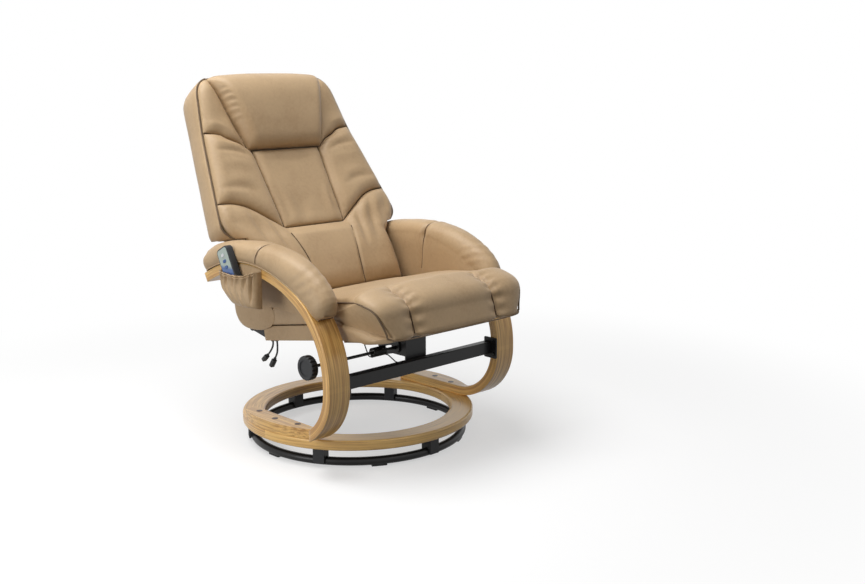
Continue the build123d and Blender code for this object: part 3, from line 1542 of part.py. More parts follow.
def handset_faceplate():
    sign = outward()
    low = sign * (handset_t - face_t)
    high = sign * handset_t
    plate = handset_body(face_inset, min(low, high), max(low, high))
    for centre in button_centres():
        plate -= button_hole(centre)
    return handset_plane().location * plate


def handset_button(index):
    """A button that is pressed towards the chair."""
    sign = outward()
    centre = button_centres()[index]
    half_w = button_w / 2
    half_l = button_l / 2
    low = sign * (handset_t - button_stem)
    high = sign * (handset_t + button_proud)
    button = block(-half_w, half_w, min(low, high), max(low, high), centre - half_l, centre + half_l)
    button = fillet(button.edges().filter_by(Axis.Y), half_l - shaft_gap)
    return handset_plane().location * button


save(floor_ring(), "floor_ring")
save(floor_pads(), "floor_pads")
save(base_ring(), "base_ring")
save(glide_blocks(), "glide_blocks")
save(glide_screws(), "glide_screws")
save(bentwood_leg(-1), "right_bentwood_leg")
save(bentwood_leg(1), "left_bentwood_leg")
save(leg_bolts(), "leg_bolts")
save(bolt_caps(), "bolt_caps")
save(crossbar(), "crossbar")
save(crossbar_screws(), "crossbar_screws")
save(centre_bracket(), "centre_bracket")
save(return_spring(), "return_spring")
save(lock_rod(), "lock_rod")
save(lock_knob(), "lock_knob")
save(arm_pad(-1), "right_arm_pad")
save(arm_pad(1), "left_arm_pad")
save(arm_boards(), "arm_boards")
save(arm_screws(), "arm_screws")
save(arm_flap(-1), "right_arm_flap")
save(arm_flap(1), "left_arm_flap")
save(pivot_bolts(), "pivot_bolts")
save(pocket_back(), "pocket_back")
save(pocket_front(), "pocket_front")
save(pocket_elastic(), "pocket_elastic")
save(back_frame(), "back_frame")
save(back_webbing(), "back_webbing")
save(back_shell(), "back_shell")
save(back_piping(), "back_piping")
save(head_pillow(), "head_pillow")
save(back_centre_pad(), "back_centre_pad")
save(lumbar_pad(), "lumbar_pad")
save(middle_wing(-1), "right_middle_wing")
save(middle_wing(1), "left_middle_wing")
save(upper_wing(-1), "right_upper_wing")
save(upper_wing(1), "left_upper_wing")
save(back_motors(), "back_motors")
save(heating_pad(), "heating_pad")
save(back_brackets(), "back_brackets")
save(bracket_screws(), "bracket_screws")
save(seat_frame(), "seat_frame")
save(seat_webbing(), "seat_webbing")
save(seat_cushion(), "seat_cushion")
save(seat_piping(), "seat_piping")
save(seat_skirt(), "seat_skirt")
save(seat_bottom_cover(), "seat_bottom_cover")
save(seat_plate(), "seat_plate")
save(seat_hinge_arms(), "seat_hinge_arms")
save(hinge_pins(), "hinge_pins")
save(seat_motor(), "seat_motor")
save(control_box(), "control_box")
save(lead(0, "rear lead"), "rear_lead")
save(lead(1, "front lead"), "front_lead")
save(lead_connectors(), "lead_connectors")
save(lead_grommets(), "lead_grommets")
save(handset_case(), "handset_case")
save(handset_faceplate(), "handset_faceplate")
save(handset_button(0), "power_button")
save(handset_button(1), "program_button")
save(handset_button(2), "heat_button")
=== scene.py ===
"""A swivel recliner armchair: bentwood legs on a laminated ring, leather seat, back and arm pads.

Points and sizes are in millimetres and angles in degrees, except where a line says metres.
"""
from __future__ import annotations

import logging
import math
from dataclasses import dataclass, field
from enum import Enum
from typing import Callable, Sequence, Union

import bmesh
import bpy
import numpy as np
from mathutils import Matrix, Vector

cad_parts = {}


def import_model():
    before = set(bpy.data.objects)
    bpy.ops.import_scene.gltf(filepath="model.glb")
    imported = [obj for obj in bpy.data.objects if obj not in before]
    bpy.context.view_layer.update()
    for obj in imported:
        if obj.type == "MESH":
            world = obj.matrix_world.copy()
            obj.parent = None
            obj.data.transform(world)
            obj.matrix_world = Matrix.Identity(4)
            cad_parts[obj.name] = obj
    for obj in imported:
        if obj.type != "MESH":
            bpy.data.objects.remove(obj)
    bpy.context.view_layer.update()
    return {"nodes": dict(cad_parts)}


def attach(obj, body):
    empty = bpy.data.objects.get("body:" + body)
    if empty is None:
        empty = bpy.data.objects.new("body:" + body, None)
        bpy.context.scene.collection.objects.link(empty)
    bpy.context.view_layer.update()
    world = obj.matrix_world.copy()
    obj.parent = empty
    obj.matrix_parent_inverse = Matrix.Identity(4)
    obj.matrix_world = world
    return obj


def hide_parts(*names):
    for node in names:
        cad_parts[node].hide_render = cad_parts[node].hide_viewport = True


log = logging.getLogger("armchair")
Array = np.ndarray
Piece = bpy.types.Object
Material = bpy.types.Material
Socket = bpy.types.NodeSocket
Value = Union[float, Socket]
Pair = tuple[float, float]
Pairs = tuple[Pair, ...]
Triple = tuple[float, float, float]
Triples = tuple[Triple, ...]
Colour = Triple
MM = 0.001
SHARP_ANGLE = 60.0


# Places and curves


class Side(Enum):
    """The sitter's sides."""

    RIGHT = -1
    LEFT = 1

    @property
    def word(self) -> str:
        """The side's name in lower case."""
        return self.name.lower()


@dataclass(frozen=True)
class TiltedFrame:
    """A frame turned about the chair's X axis: x across, a along it, b square to it."""

    y: float
    z: float
    along: Pair
    out: Pair

    def world(self, points: Array) -> Array:
        """Places points in the chair.

        Args:
            points: Rows of (x, a, b).

        Returns:
            Rows of (x, y, z).
        """
        pts = np.asarray(points, float)
        y = self.y + pts[..., 1] * self.along[0] + pts[..., 2] * self.out[0]
        z = self.z + pts[..., 1] * self.along[1] + pts[..., 2] * self.out[1]
        return np.stack([pts[..., 0], y, z], axis=-1)


BACK_TILT = math.radians(32.0)
SEAT_TILT = math.radians(9.7)
BACK = TiltedFrame(230.0, 650.0, (math.sin(BACK_TILT), math.cos(BACK_TILT)),
                   (-math.cos(BACK_TILT), math.sin(BACK_TILT)))
SEAT = TiltedFrame(-120.0, 323.0, (math.cos(SEAT_TILT), -math.sin(SEAT_TILT)),
                   (math.sin(SEAT_TILT), math.cos(SEAT_TILT)))


def eased(value: Array, start: float, end: float) -> Array:
    """Goes gently from 0 at the start to 1 at the end."""
    share = np.clip((np.asarray(value, float) - start) / (end - start), 0, 1)
    return share * share * (3 - 2 * share)


CURL = 17.0
DISH = 5.0


def on_back(points: Array, curl: float = CURL, dish: float = DISH) -> Array:
    """Places points of the back in the chair.

    Args:
        points: Rows of (x, s, o): across, up the back and out of it.
        curl: How far the top leans forward.
        dish: How far the middle lies deeper than the wings.

    Returns:
        Rows of (x, y, z).
    """
    pts = np.array(points, float)
    across, along, out = np.abs(pts[..., 0]), pts[..., 1], pts[..., 2]
    inner = 1 - eased(across, 100, 262)
    span = eased(along, -210, -95) * (1 - eased(along, 165, 330))
    pts[..., 2] = out - dish * inner * span * eased(out, -45, -4) + curl * eased(along, 170, 360)
    return BACK.world(pts)


def smooth_line(points: Sequence[Sequence[float]], count: int) -> Array:
    """Draws a smooth line through points.

    Args:
        points: The points to pass through, in two or three dimensions.
        count: How many evenly spaced points to return.

    Returns:
        The line's points.
    """
    pts = np.asarray(points, float)
    ends = np.vstack([2 * pts[0] - pts[1], pts, 2 * pts[-1] - pts[-2]])
    dense = []
    for i in range(1, len(ends) - 2):
        p0, p1, p2, p3 = ends[i - 1:i + 3]
        for t in np.linspace(0, 1, 24, endpoint=False):
            dense.append(0.5 * (2 * p1 + (p2 - p0) * t + (2 * p0 - 5 * p1 + 4 * p2 - p3) * t * t
                                + (3 * p1 - p0 - 3 * p2 + p3) * t ** 3))
    dense.append(ends[-2])
    return even(np.array(dense), count)


def even(line: Array, count: int) -> Array:
    """Spaces a line's points evenly."""
    steps = np.r_[0, np.cumsum(np.linalg.norm(np.diff(line, axis=0), axis=1))]
    return np.stack([np.interp(np.linspace(0, steps[-1], count), steps, part) for part in line.T], axis=1)


def rounded(points: Sequence[Sequence[float]], radii: Sequence[float], count: int) -> Array:
    """Rounds the corners of a closed outline.

    Args:
        points: Corners in order.
        radii: The radius at each corner.
        count: How many points the outline gets.

    Returns:
        The outline's points; the last one repeats the first.
    """
    pts = np.asarray(points, float)
    line = []
    for i, here in enumerate(pts):
        before, after = pts[i - 1], pts[(i + 1) % len(pts)]
        a = (before - here) / np.linalg.norm(before - here)
        b = (after - here) / np.linalg.norm(after - here)
        half = math.acos(max(-1.0, min(1.0, float(a @ b)))) / 2
        cut = radii[i] / math.tan(half)
        start, end = here + a * cut, here + b * cut
        for t in np.linspace(0, 1, 14):
            line.append((1 - t) ** 2 * start + 2 * t * (1 - t) * here + t * t * end)
    line.append(line[0])
    return even(np.array(line), count + 1)


def square_to(runs: Array) -> Array:
    """Unit directions square to directions in the plane."""
    across = runs[:, ::-1] * [1, -1]
    return across / np.linalg.norm(across, axis=1, keepdims=True)


def distance_to(points: Array, line: Array) -> Array:
    """Distance of points from a line, both in the plane.

    Args:
        points: Rows of places.
        line: Its points, in order.

    Returns:
        One distance for each point.
    """
    best = np.full(len(points), 1e9)
    for a, b in zip(line[:-1], line[1:]):
        run = b - a
        share = np.clip(((points - a) @ run) / max(float(run @ run), 1e-9), 0, 1)
        best = np.minimum(best, np.linalg.norm(points - (a + share[:, None] * run), axis=1))
    return best


def shoulder(distance: Array, reach: float) -> Array:
    """How full a pad is at a distance from its seam, from 0 on the seam to 1."""
    near = 1 - np.clip(distance / reach, 0, 1)
    return np.sqrt(np.clip(1 - near ** 2, 0, 1))


def bell(distance: Array, width: float) -> Array:
    """A soft bell: 1 in the middle, near 0 at twice the width."""
    return np.exp(-(distance / width) ** 2)


def waves(points: Array, size: float, seed: int, height: float) -> Array:
    """Soft unevenness of stuffed leather.

    Args:
        points: Points.
        size: Typical length of a wave.
        seed: Which unevenness.
        height: Its height.

    Returns:
        One height for each point.
    """
    rng = np.random.default_rng(seed)
    total = np.zeros(points.shape[:-1])
    for _ in range(7):
        turn = rng.normal(size=points.shape[-1])
        turn *= 2 * math.pi / (size * rng.uniform(0.7, 1.6) * np.linalg.norm(turn))
        total += np.sin(points @ turn + rng.uniform(0, 6.28))
    return total * height / 3.5


# Meshes


def in_scene(name: str, data: bpy.types.ID) -> Piece:
    """Puts a mesh, curve, camera or lamp into the scene, at the origin.

    Args:
        name: The object's name.
        data: The mesh, curve, camera or lamp.

    Returns:
        The object.
    """
    obj = bpy.data.objects.new(name, data)
    bpy.context.scene.collection.objects.link(obj)
    return obj


def mesh_object(name: str, verts: Array, faces: list, sharp: float = SHARP_ANGLE) -> Piece:
    """Makes a piece whose place is in its mesh.

    Args:
        name: The piece's name.
        verts: Rows of (x, y, z).
        faces: Vertex numbers of each face.
        sharp: Edges over this angle in degrees stay sharp.

    Returns:
        The object at the origin.
    """
    mesh = bpy.data.meshes.new(name)
    mesh.from_pydata((np.asarray(verts) * MM).tolist(), [], faces)
    bm = bmesh.new()
    bm.from_mesh(mesh)
    bmesh.ops.remove_doubles(bm, verts=bm.verts, dist=2e-6)
    bmesh.ops.recalc_face_normals(bm, faces=bm.faces)
    bm.to_mesh(mesh)
    bm.free()
    mesh.shade_smooth()
    mesh.set_sharp_from_angle(angle=math.radians(sharp))
    return in_scene(name, mesh)


def grid_faces(rows: int, cols: int, start: int = 0, closed: bool = False) -> list:
    """Faces of a grid of points, its rows closed into rings if asked.

    Args:
        rows: How many rows of points.
        cols: Points in each row.
        start: The first point's number.
        closed: Whether each row is a ring.

    Returns:
        Vertex numbers of each face.
    """
    last = cols if closed else cols - 1
    faces = []
    for r in range(rows - 1):
        for c in range(last):
            a, b = start + r * cols + c, start + r * cols + (c + 1) % cols
            faces.append((a, b, b + cols, a + cols))
    return faces


def slab(name: str, top: Array, bottom: Array) -> Piece:
    """Closes two grids of the same size into a solid.

    Args:
        name: The piece's name.
        top: Grid of points (rows, columns, 3).
        bottom: The grid under it.

    Returns:
        The object.
    """
    rows, cols = top.shape[:2]
    count = rows * cols
    faces = grid_faces(rows, cols) + [tuple(reversed(f)) for f in grid_faces(rows, cols, count)]
    rim = list(range(cols)) + [r * cols + cols - 1 for r in range(1, rows)]
    rim += [(rows - 1) * cols + c for c in range(cols - 2, -1, -1)]
    rim += [r * cols for r in range(rows - 2, 0, -1)]
    for a, b in zip(rim, rim[1:] + rim[:1]):
        faces.append((a, a + count, b + count, b))
    return mesh_object(name, np.vstack([top.reshape(-1, 3), bottom.reshape(-1, 3)]), faces)


def loft(name: str, rings: Sequence[Array], sharp: float = SHARP_ANGLE) -> Piece:
    """Joins closed rings of points into a solid with closed ends.

    Args:
        name: The piece's name.
        rings: Rings with the same number of points each.
        sharp: Edges over this angle in degrees stay sharp.

    Returns:
        The object.
    """
    cols = len(rings[0])
    verts = np.vstack(list(rings) + [rings[0].mean(0)[None], rings[-1].mean(0)[None]])
    faces = grid_faces(len(rings), cols, closed=True)
    first, last, top = len(verts) - 2, len(verts) - 1, (len(rings) - 1) * cols
    for c in range(cols):
        n = (c + 1) % cols
        faces += [(first, n, c), (last, top + c, top + n)]
    return mesh_object(name, verts, faces, sharp)


def patch(bottom: Array, right: Array, top: Array, left: Array, rows: int, cols: int) -> Array:
    """Fills four side lines with a grid.

    Args:
        bottom: Line from left to right.
        right: Line from bottom to top.
        top: Line from left to right.
        left: Line from bottom to top.
        rows: Points from bottom to top.
        cols: Points from left to right.

    Returns:
        The grid (rows, cols, 2).
    """
    b, t = even(bottom, cols)[None], even(top, cols)[None]
    lft, r = even(left, rows)[:, None], even(right, rows)[:, None]
    u = np.linspace(0, 1, cols)[None, :, None]
    v = np.linspace(0, 1, rows)[:, None, None]
    corners = ((1 - u) * (1 - v) * b[:, :1] + u * (1 - v) * b[:, -1:]
               + (1 - u) * v * t[:, :1] + u * v * t[:, -1:])
    return (1 - v) * b + v * t + (1 - u) * lft + u * r - corners


def tube(name: str, points: Array, radius: float, sides: int = 10) -> Piece:
    """A round cord with closed ends along a dense line.

    Args:
        name: The piece's name.
        points: The line.
        radius: The cord's radius.
        sides: Points round it.

    Returns:
        The cord.
    """
    rings, normal = [], None
    for i, here in enumerate(points):
        run = points[min(i + 1, len(points) - 1)] - points[max(i - 1, 0)]
        run = run / max(np.linalg.norm(run), 1e-9)
        if normal is None:
            normal = np.cross(run, [0.3, 0.2, 0.93])
        normal = normal - run * (normal @ run)
        normal = normal / max(np.linalg.norm(normal), 1e-9)
        side = np.cross(run, normal)
        turn = np.linspace(0, 2 * math.pi, sides, endpoint=False)[:, None]
        rings.append(here + radius * (np.cos(turn) * normal + np.sin(turn) * side))
    return loft(name, rings)


def merged(name: str, parts: Sequence[Piece]) -> Piece:
    """Joins finished meshes into one piece.

    Args:
        name: The new piece's name.
        parts: The meshes, which are used up.

    Returns:
        The piece.
    """
    bm = bmesh.new()
    for part in parts:
        bm.from_mesh(part.data)
        bpy.data.objects.remove(part)
    mesh = bpy.data.meshes.new(name)
    bm.to_mesh(mesh)
    bm.free()
    mesh.shade_smooth()
    mesh.set_sharp_from_angle(angle=math.radians(SHARP_ANGLE))
    return in_scene(name, mesh)


# Finishes


class Tree:
    """A small helper to fill one node tree."""

    def __init__(self, tree: bpy.types.NodeTree, family: str = "ShaderNode") -> None:
        """Empties a tree; the family is what the names of its node types start with."""
        self.tree, self.family = tree, family
        tree.nodes.clear()

    def add(self, kind: str, inputs: dict | None = None, **settings: str) -> bpy.types.Node:
        """Adds a node.

        Args:
            kind: The node's type name, without its family.
            inputs: Values or sockets for its inputs, by name or number.
            settings: Properties of the node.

        Returns:
            The node.
        """
        node = self.tree.nodes.new(self.family + kind)
        for key, value in settings.items():
            setattr(node, key, value)
        self.feed(node, inputs or {})
        return node

    def feed(self, node: bpy.types.Node, inputs: dict) -> None:
        """Gives a node its inputs.

        Args:
            node: The node.
            inputs: Values or sockets, by name or number.
        """
        for key, value in inputs.items():
            if isinstance(value, Socket):
                self.tree.links.new(value, node.inputs[key])
            else:
                node.inputs[key].default_value = value

    def first(self, kind: str, inputs: dict | None = None, **settings: str) -> Socket:
        """Adds a node and gives its first output."""
        return self.add(kind, inputs, **settings).outputs[0]

    def math(self, operation: str, a: Value, b: Value = 0.0, c: Value = 0.0) -> Socket:
        """A sum of sockets or numbers."""
        return self.first("Math", {0: a, 1: b, 2: c}, operation=operation)

    def times(self, a: Value, b: Value) -> Socket:
        """The product of two sockets or numbers."""
        return self.math("MULTIPLY", a, b)


class Surface(Tree):
    """A small helper to wire up one material."""

    def __init__(self, name: str) -> None:
        """Starts a material with an empty surface shader.

        Args:
            name: The material's name.
        """
        self.material = bpy.data.materials.new(name)
        self.material.use_nodes = True
        super().__init__(self.material.node_tree)
        self.shader = self.add("BsdfPrincipled")
        self.out = self.add("OutputMaterial", {0: self.shader.outputs[0]})
        self.place = self.add("TexCoord").outputs["Object"]

    def split(self, vector: Socket) -> Sequence[Socket]:
        """The three parts of a vector."""
        return self.add("SeparateXYZ", {0: vector}).outputs

    def join(self, x: Value, y: Value = 0.0, z: Value = 0.0) -> Socket:
        """A vector of three parts."""
        return self.first("CombineXYZ", {0: x, 1: y, 2: z})

    def length(self, a: Value, b: Value) -> Socket:
        """The length of a vector in the plane."""
        return self.math("SQRT", self.math("ADD", self.times(a, a), self.times(b, b)))

    def ramp(self, fac: Socket, stops: Sequence[tuple]) -> Socket:
        """Runs through colours over a value.

        Args:
            fac: The value, from 0 to 1.
            stops: Pairs of a place on the ramp and a colour.

        Returns:
            The colour.
        """
        node = self.add("ValToRGB", {0: fac})
        marks = node.color_ramp.elements
        while len(marks) < len(stops):
            marks.new(0.5)
        for mark, (at, colour) in zip(marks, stops):
            mark.position = at
            mark.color = (*colour, 1)
        return node.outputs[0]

    def noise(self, where: Socket, scale: float, detail: float) -> Socket:
        """Soft noise."""
        return self.first("TexNoise", {"Vector": where, "Scale": scale, "Detail": detail})

    def stretched(self, scale: Sequence[float]) -> Socket:
        """The piece's own place, stretched along its axes."""
        return self.first("Mapping", {"Vector": self.place, "Scale": scale})

    def bump(self, heights: Sequence[tuple]) -> None:
        """Stacks bumps on the surface.

        Args:
            heights: Rows of a socket, a distance in metres and a strength.
        """
        normal = None
        for height, distance, strength in heights:
            inputs = {"Height": height, "Distance": distance, "Strength": strength}
            if normal is not None:
                inputs["Normal"] = normal
            normal = self.first("Bump", inputs)
        self.surface(normal=normal)

    def surface(self, **values: Value) -> None:
        """Feeds shader inputs, named in lower case with an underscore for each space."""
        names = {name.lower().replace(" ", "_"): name for name in self.shader.inputs.keys()}
        self.feed(self.shader, {names[key]: value for key, value in values.items()})


@dataclass(frozen=True)
class Leather:
    """Corrected-grain leather."""

    name: str
    colour: Colour
    dark: Colour
    pores: float = 950.0
    roughness: float = 0.46
    sheen: float = 0.10
    cloud: float = 9.0
    mottle: float = 120.0
    crease: float = 60.0
    lift: float = 1.10

    def make(self) -> Material:
        """Builds the material.

        Returns:
            Cloudy colour under a relief of fine creases and pores.
        """
        n = Surface(self.name)
        broad = n.noise(n.place, self.cloud, 4.0)
        fine = n.noise(n.place, self.mottle, 5.0)
        mix = n.math("MULTIPLY_ADD", fine, 0.35, n.times(broad, 0.65))
        lighter = [min(1.0, c * self.lift) for c in self.colour]
        n.surface(base_color=n.ramp(mix, [(0.30, self.dark), (0.5, self.colour), (0.70, lighter)]),
                  roughness=n.math("MULTIPLY_ADD", fine, 0.16, self.roughness - 0.08),
                  specular_ior_level=0.42, sheen_weight=self.sheen, sheen_roughness=0.45)
        grain = n.add("TexVoronoi", {"Vector": n.place, "Scale": self.pores}, feature="DISTANCE_TO_EDGE")
        pore = n.math("MINIMUM", n.times(grain.outputs["Distance"], 3.0), 0.6)
        n.bump([(n.noise(n.place, self.crease, 6.0), 0.0016, 0.22), (pore, 0.00035, 0.30)])
        return n.material


@dataclass(frozen=True)
class Bentwood:
    """Lacquered birch layers, bent: thin glue lines on the sides and long grain on the faces.

    Each bend is (y, z, radius) of the outer face.
    """

    name: str
    pale: Colour = (0.84, 0.52, 0.165)
    deep: Colour = (0.52, 0.262, 0.070)
    glue: Colour = (0.34, 0.17, 0.06)
    layer: float = 2.2
    glue_line: float = 0.13
    glue_strength: float = 0.42
    foot_top: float = 78.0
    toe: Triple = (-130, 233, 155)
    knee: Triple = (-38, 245, 247)
    bend: Triple = (43.5, 103.84, 410)
    bend_start: float = -161.5
    shin: float = 239.0

    def depth(self, n: Surface) -> Socket:
        """Measures how deep a point lies below the strip's outer face, read along its bends.

        Args:
            n: The material's tree.

        Returns:
            The depth.
        """
        place = n.split(n.place)
        y, z = n.times(place[1], 1000.0), n.times(place[2], 1000.0)

        def inside(cy: float, cz: float, radius: float) -> Socket:
            """Depth inside a bend."""
            far = n.length(n.math("SUBTRACT", y, cy), n.math("SUBTRACT", z, cz))
            return n.math("SUBTRACT", radius, far)

        def choose(test: Value, yes: Value, no: Value) -> Socket:
            """One value or the other."""
            return n.math("ADD", n.times(test, yes), n.times(n.math("SUBTRACT", 1.0, test), no))

        foot = n.math("SUBTRACT", z, self.foot_top)
        low = choose(n.math("LESS_THAN", y, self.toe[0]), inside(*self.toe), foot)
        high = choose(n.math("LESS_THAN", y, self.bend_start), inside(*self.knee), inside(*self.bend))
        return choose(n.math("LESS_THAN", z, self.shin), low, high)

    def varnish(self, n: Surface, mix: Value, streak: Value, layers: Value, on_side: Value) -> None:
        """Colours the wood, draws its glue lines and lacquers it.

        Args:
            n: The material's tree.
            mix: How pale the wood is, from 0 to 1.
            streak: The grain.
            layers: Depth in layers.
            on_side: 1 where the layers' edges show.
        """
        lighter = tuple(c * 1.12 for c in self.pale)
        wood = n.ramp(mix, [(0.40, self.deep), (0.53, self.pale), (0.68, lighter)])
        line = n.math("LESS_THAN", n.math("FRACT", layers), self.glue_line)
        share = n.times(n.times(line, on_side), self.glue_strength)
        colour = n.add("Mix", {0: share, 6: wood, 7: (*self.glue, 1)}, data_type="RGBA")
        n.surface(base_color=colour.outputs[2], roughness=n.math("MULTIPLY_ADD", streak, 0.14, 0.27),
                  coat_weight=0.35, coat_roughness=0.22)
        n.bump([(streak, 0.0006, 0.12)])

    def make(self) -> Material:
        """Builds the material.

        Returns:
            Long grain along the strip, with its own tone for each layer.
        """
        n = Surface(self.name)
        depth = self.depth(n)
        where = n.split(n.place)
        along = n.times(n.math("ADD", where[1], where[2]), 5.0)
        streak = n.noise(n.join(n.times(where[0], 210.0), along, n.times(depth, 0.22)), 1.0, 6.0)
        cloud = n.noise(n.place, 7.0, 3.0)
        layers = n.math("DIVIDE", depth, self.layer)
        tone = n.noise(n.join(n.math("FLOOR", layers)), 3.7, 1.0)
        mix = n.math("ADD", n.times(streak, 0.54), n.math("ADD", n.times(cloud, 0.2), n.times(tone, 0.2)))
        normal = n.split(n.add("NewGeometry").outputs["Normal"])
        on_side = n.math("GREATER_THAN", n.math("ABSOLUTE", normal[0]), 0.8)
        self.varnish(n, mix, streak, layers, on_side)
        return n.material


@dataclass(frozen=True)
class RingWood(Bentwood):
    """The same wood in a flat ring: the grain runs round it and the layers lie on each other."""

    layer: float = 4.5
    glue_line: float = 0.12
    glue_strength: float = 0.36
    underside: float = 51.0
    segments: float = 0.6366

    def make(self) -> Material:
        """Builds the material.

        Returns:
            Grain round the ring, with its own tone for each quarter.
        """
        n = Surface(self.name)
        x, y, z = n.split(n.place)
        turn = n.math("ARCTAN2", y, x)
        way = n.join(n.times(n.length(x, y), 240.0), n.times(turn, 2.4), n.times(z, 320.0))
        streak = n.noise(way, 1.0, 5.0)
        part = n.math("FLOOR", n.math("MULTIPLY_ADD", turn, self.segments, 0.2))
        tone = n.noise(n.join(part), 2.3, 1.0)
        mix = n.math("ADD", n.times(streak, 0.6), n.times(tone, 0.42))
        rise = n.math("SUBTRACT", n.times(z, 1000.0), self.underside)
        normal = n.split(n.add("NewGeometry").outputs["Normal"])
        on_side = n.math("LESS_THAN", n.math("ABSOLUTE", normal[2]), 0.5)
        self.varnish(n, mix, streak, n.math("DIVIDE", rise, self.layer), on_side)
        return n.material


@dataclass(frozen=True)
class Plain:
    """Painted steel, zinc, plastic, rubber or plywood, with its own fine unevenness."""

    name: str
    colour: Colour
    roughness: float
    metal: float = 0.0
    grain: float = 400.0
    depth: float = 0.0002
    spread: float = 0.12
    stretch: Triple = (1, 1, 1)
    coat: float = 0.0
    gloss: float = 0.5

    def make(self) -> Material:
        """Builds the material.

        Returns:
            One colour with soft clouds and a fine grain.
        """
        n = Surface(self.name)
        fine = n.noise(n.stretched(self.stretch), self.grain, 4.0)
        broad = n.noise(n.place, 22.0, 2.0)
        darker = tuple(c * (1 - self.spread) for c in self.colour)
        lighter = tuple(min(1.0, c * (1 + self.spread)) for c in self.colour)
        cloud = n.math("MULTIPLY_ADD", broad, 0.6, n.times(fine, 0.4))
        n.surface(base_color=n.ramp(cloud, [(0.3, darker), (0.7, lighter)]),
                  roughness=n.math("MULTIPLY_ADD", fine, 0.12, self.roughness - 0.06),
                  metallic=self.metal, specular_ior_level=self.gloss, coat_weight=self.coat)
        n.bump([(fine, self.depth, 0.3)])
        return n.material


@dataclass(frozen=True)
class Webbing:
    """Elastic webbing or lining cloth with a woven surface."""

    name: str
    colour: Colour
    threads: float = 900.0

    def make(self) -> Material:
        """Builds the material.

        Returns:
            Crossing threads, darker in the gaps.
        """
        n = Surface(self.name)
        thread = {"Vector": n.place, "Scale": self.threads / 6.28}
        across, along = (n.add("TexWave", thread, bands_direction=axis).outputs[1] for axis in "XY")
        weave = n.times(across, along)
        dark = tuple(c * 0.55 for c in self.colour)
        n.surface(base_color=n.ramp(weave, [(0.1, dark), (0.6, self.colour)]), roughness=0.85,
                  sheen_weight=0.2)
        n.bump([(weave, 0.0004, 0.4)])
        return n.material


@dataclass(frozen=True)
class HandsetFace:
    """The handset's face: grey-green above and blue below."""

    name: str
    upper: Colour = (0.40, 0.48, 0.43)
    lower: Colour = (0.05, 0.12, 0.32)
    foot: float = 0.487
    steepness: float = 18.0

    def make(self) -> Material:
        """Builds the material.

        Returns:
            Two colours that meet in a soft line.
        """
        n = Surface(self.name)
        share = n.times(n.math("SUBTRACT", n.split(n.place)[2], self.foot), self.steepness)
        n.bump([(n.noise(n.place, 900.0, 2.0), 0.0001, 0.2)])
        n.surface(base_color=n.ramp(share, [(0.18, self.lower), (0.34, self.upper)]), roughness=0.24,
                  coat_weight=0.5)
        return n.material


def made(recipe: Leather | Bentwood | Plain | Webbing | HandsetFace) -> Material:
    """A workshop's material, made when the workshop opens."""
    return field(default_factory=recipe.make)


@dataclass
class Workshop:
    """All the finishes of the chair, made once."""

    tan: Material = made(Leather("tan leather", (0.468, 0.323, 0.180), (0.398, 0.263, 0.138)))
    # Very dark leather on the seam cords and stitches: painted shade for the shadow in the seam valleys,
    # tucks, folds and gaps, over the real seam lines.
    brown: Material = made(
        Leather("seam shade leather", (0.085, 0.052, 0.029), (0.060, 0.036, 0.020), 1600.0, 0.85, 0.0))
    # The piping is the tan leather; its darker tan paints the shade line beside it.
    cord: Material = made(
        Leather("piping leather with painted shade", (0.135, 0.088, 0.048), (0.100, 0.064, 0.034), 1600.0, 0.65, 0.0))
    wood: Material = made(Bentwood("bent birch"))
    ring: Material = made(RingWood("ring birch"))
    steel: Material = made(
        Plain("black enamel", (0.009, 0.0085, 0.009), 0.38, grain=700.0, depth=0.00012, spread=0.2,
              coat=0.08, gloss=0.28))
    zinc: Material = made(
        Plain("zinc plate", (0.55, 0.55, 0.53), 0.34, metal=1.0, grain=300.0, depth=0.0001, spread=0.1,
              stretch=(1, 1, 12)))
    plastic: Material = made(
        Plain("dark moulded plastic", (0.020, 0.021, 0.023), 0.50, grain=900.0, gloss=0.35))
    cap: Material = made(Plain("dark cap plastic", (0.060, 0.032, 0.022), 0.42, grain=900.0, depth=0.0001))
    web: Material = made(Webbing("elastic webbing", (0.05, 0.05, 0.05)))
    heater: Material = made(Webbing("heater cloth", (0.35, 0.35, 0.33), 1500.0))
    cover: Material = made(Webbing("black lining", (0.028, 0.028, 0.028), 1700.0))
    ply: Material = made(
        Plain("raw plywood", (0.42, 0.27, 0.13), 0.65, grain=60.0, depth=0.0004, spread=0.2,
              stretch=(1, 14, 14)))
    face: Material = made(HandsetFace("handset face"))
    blue: Material = made(Plain("blue button", (0.04, 0.10, 0.28), 0.35, grain=900.0, depth=0.0001))
    rubber: Material = made(Plain("lead sheath", (0.013, 0.013, 0.013), 0.55, grain=1200.0, depth=0.0001))
    silver: Material = made(
        Plain("silver trim", (0.62, 0.63, 0.64), 0.25, metal=1.0, grain=500.0, depth=0.00005, spread=0.06))


def settle(obj: Piece, finish: Material, body: str,
           nodes: Sequence[str] = ()) -> Piece:
    """Args:
        obj: The piece.
        finish: Its material.
        body: The body it moves with.
        nodes: The solids it stands for.

    Returns:
        The piece.
    """
    obj.data.materials.clear()
    obj.data.materials.append(finish)
    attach(obj, body)
    if nodes:
        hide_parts(*nodes)
    log.info("%s rides on %s", obj.name, body)
    return obj


# Repeated small work


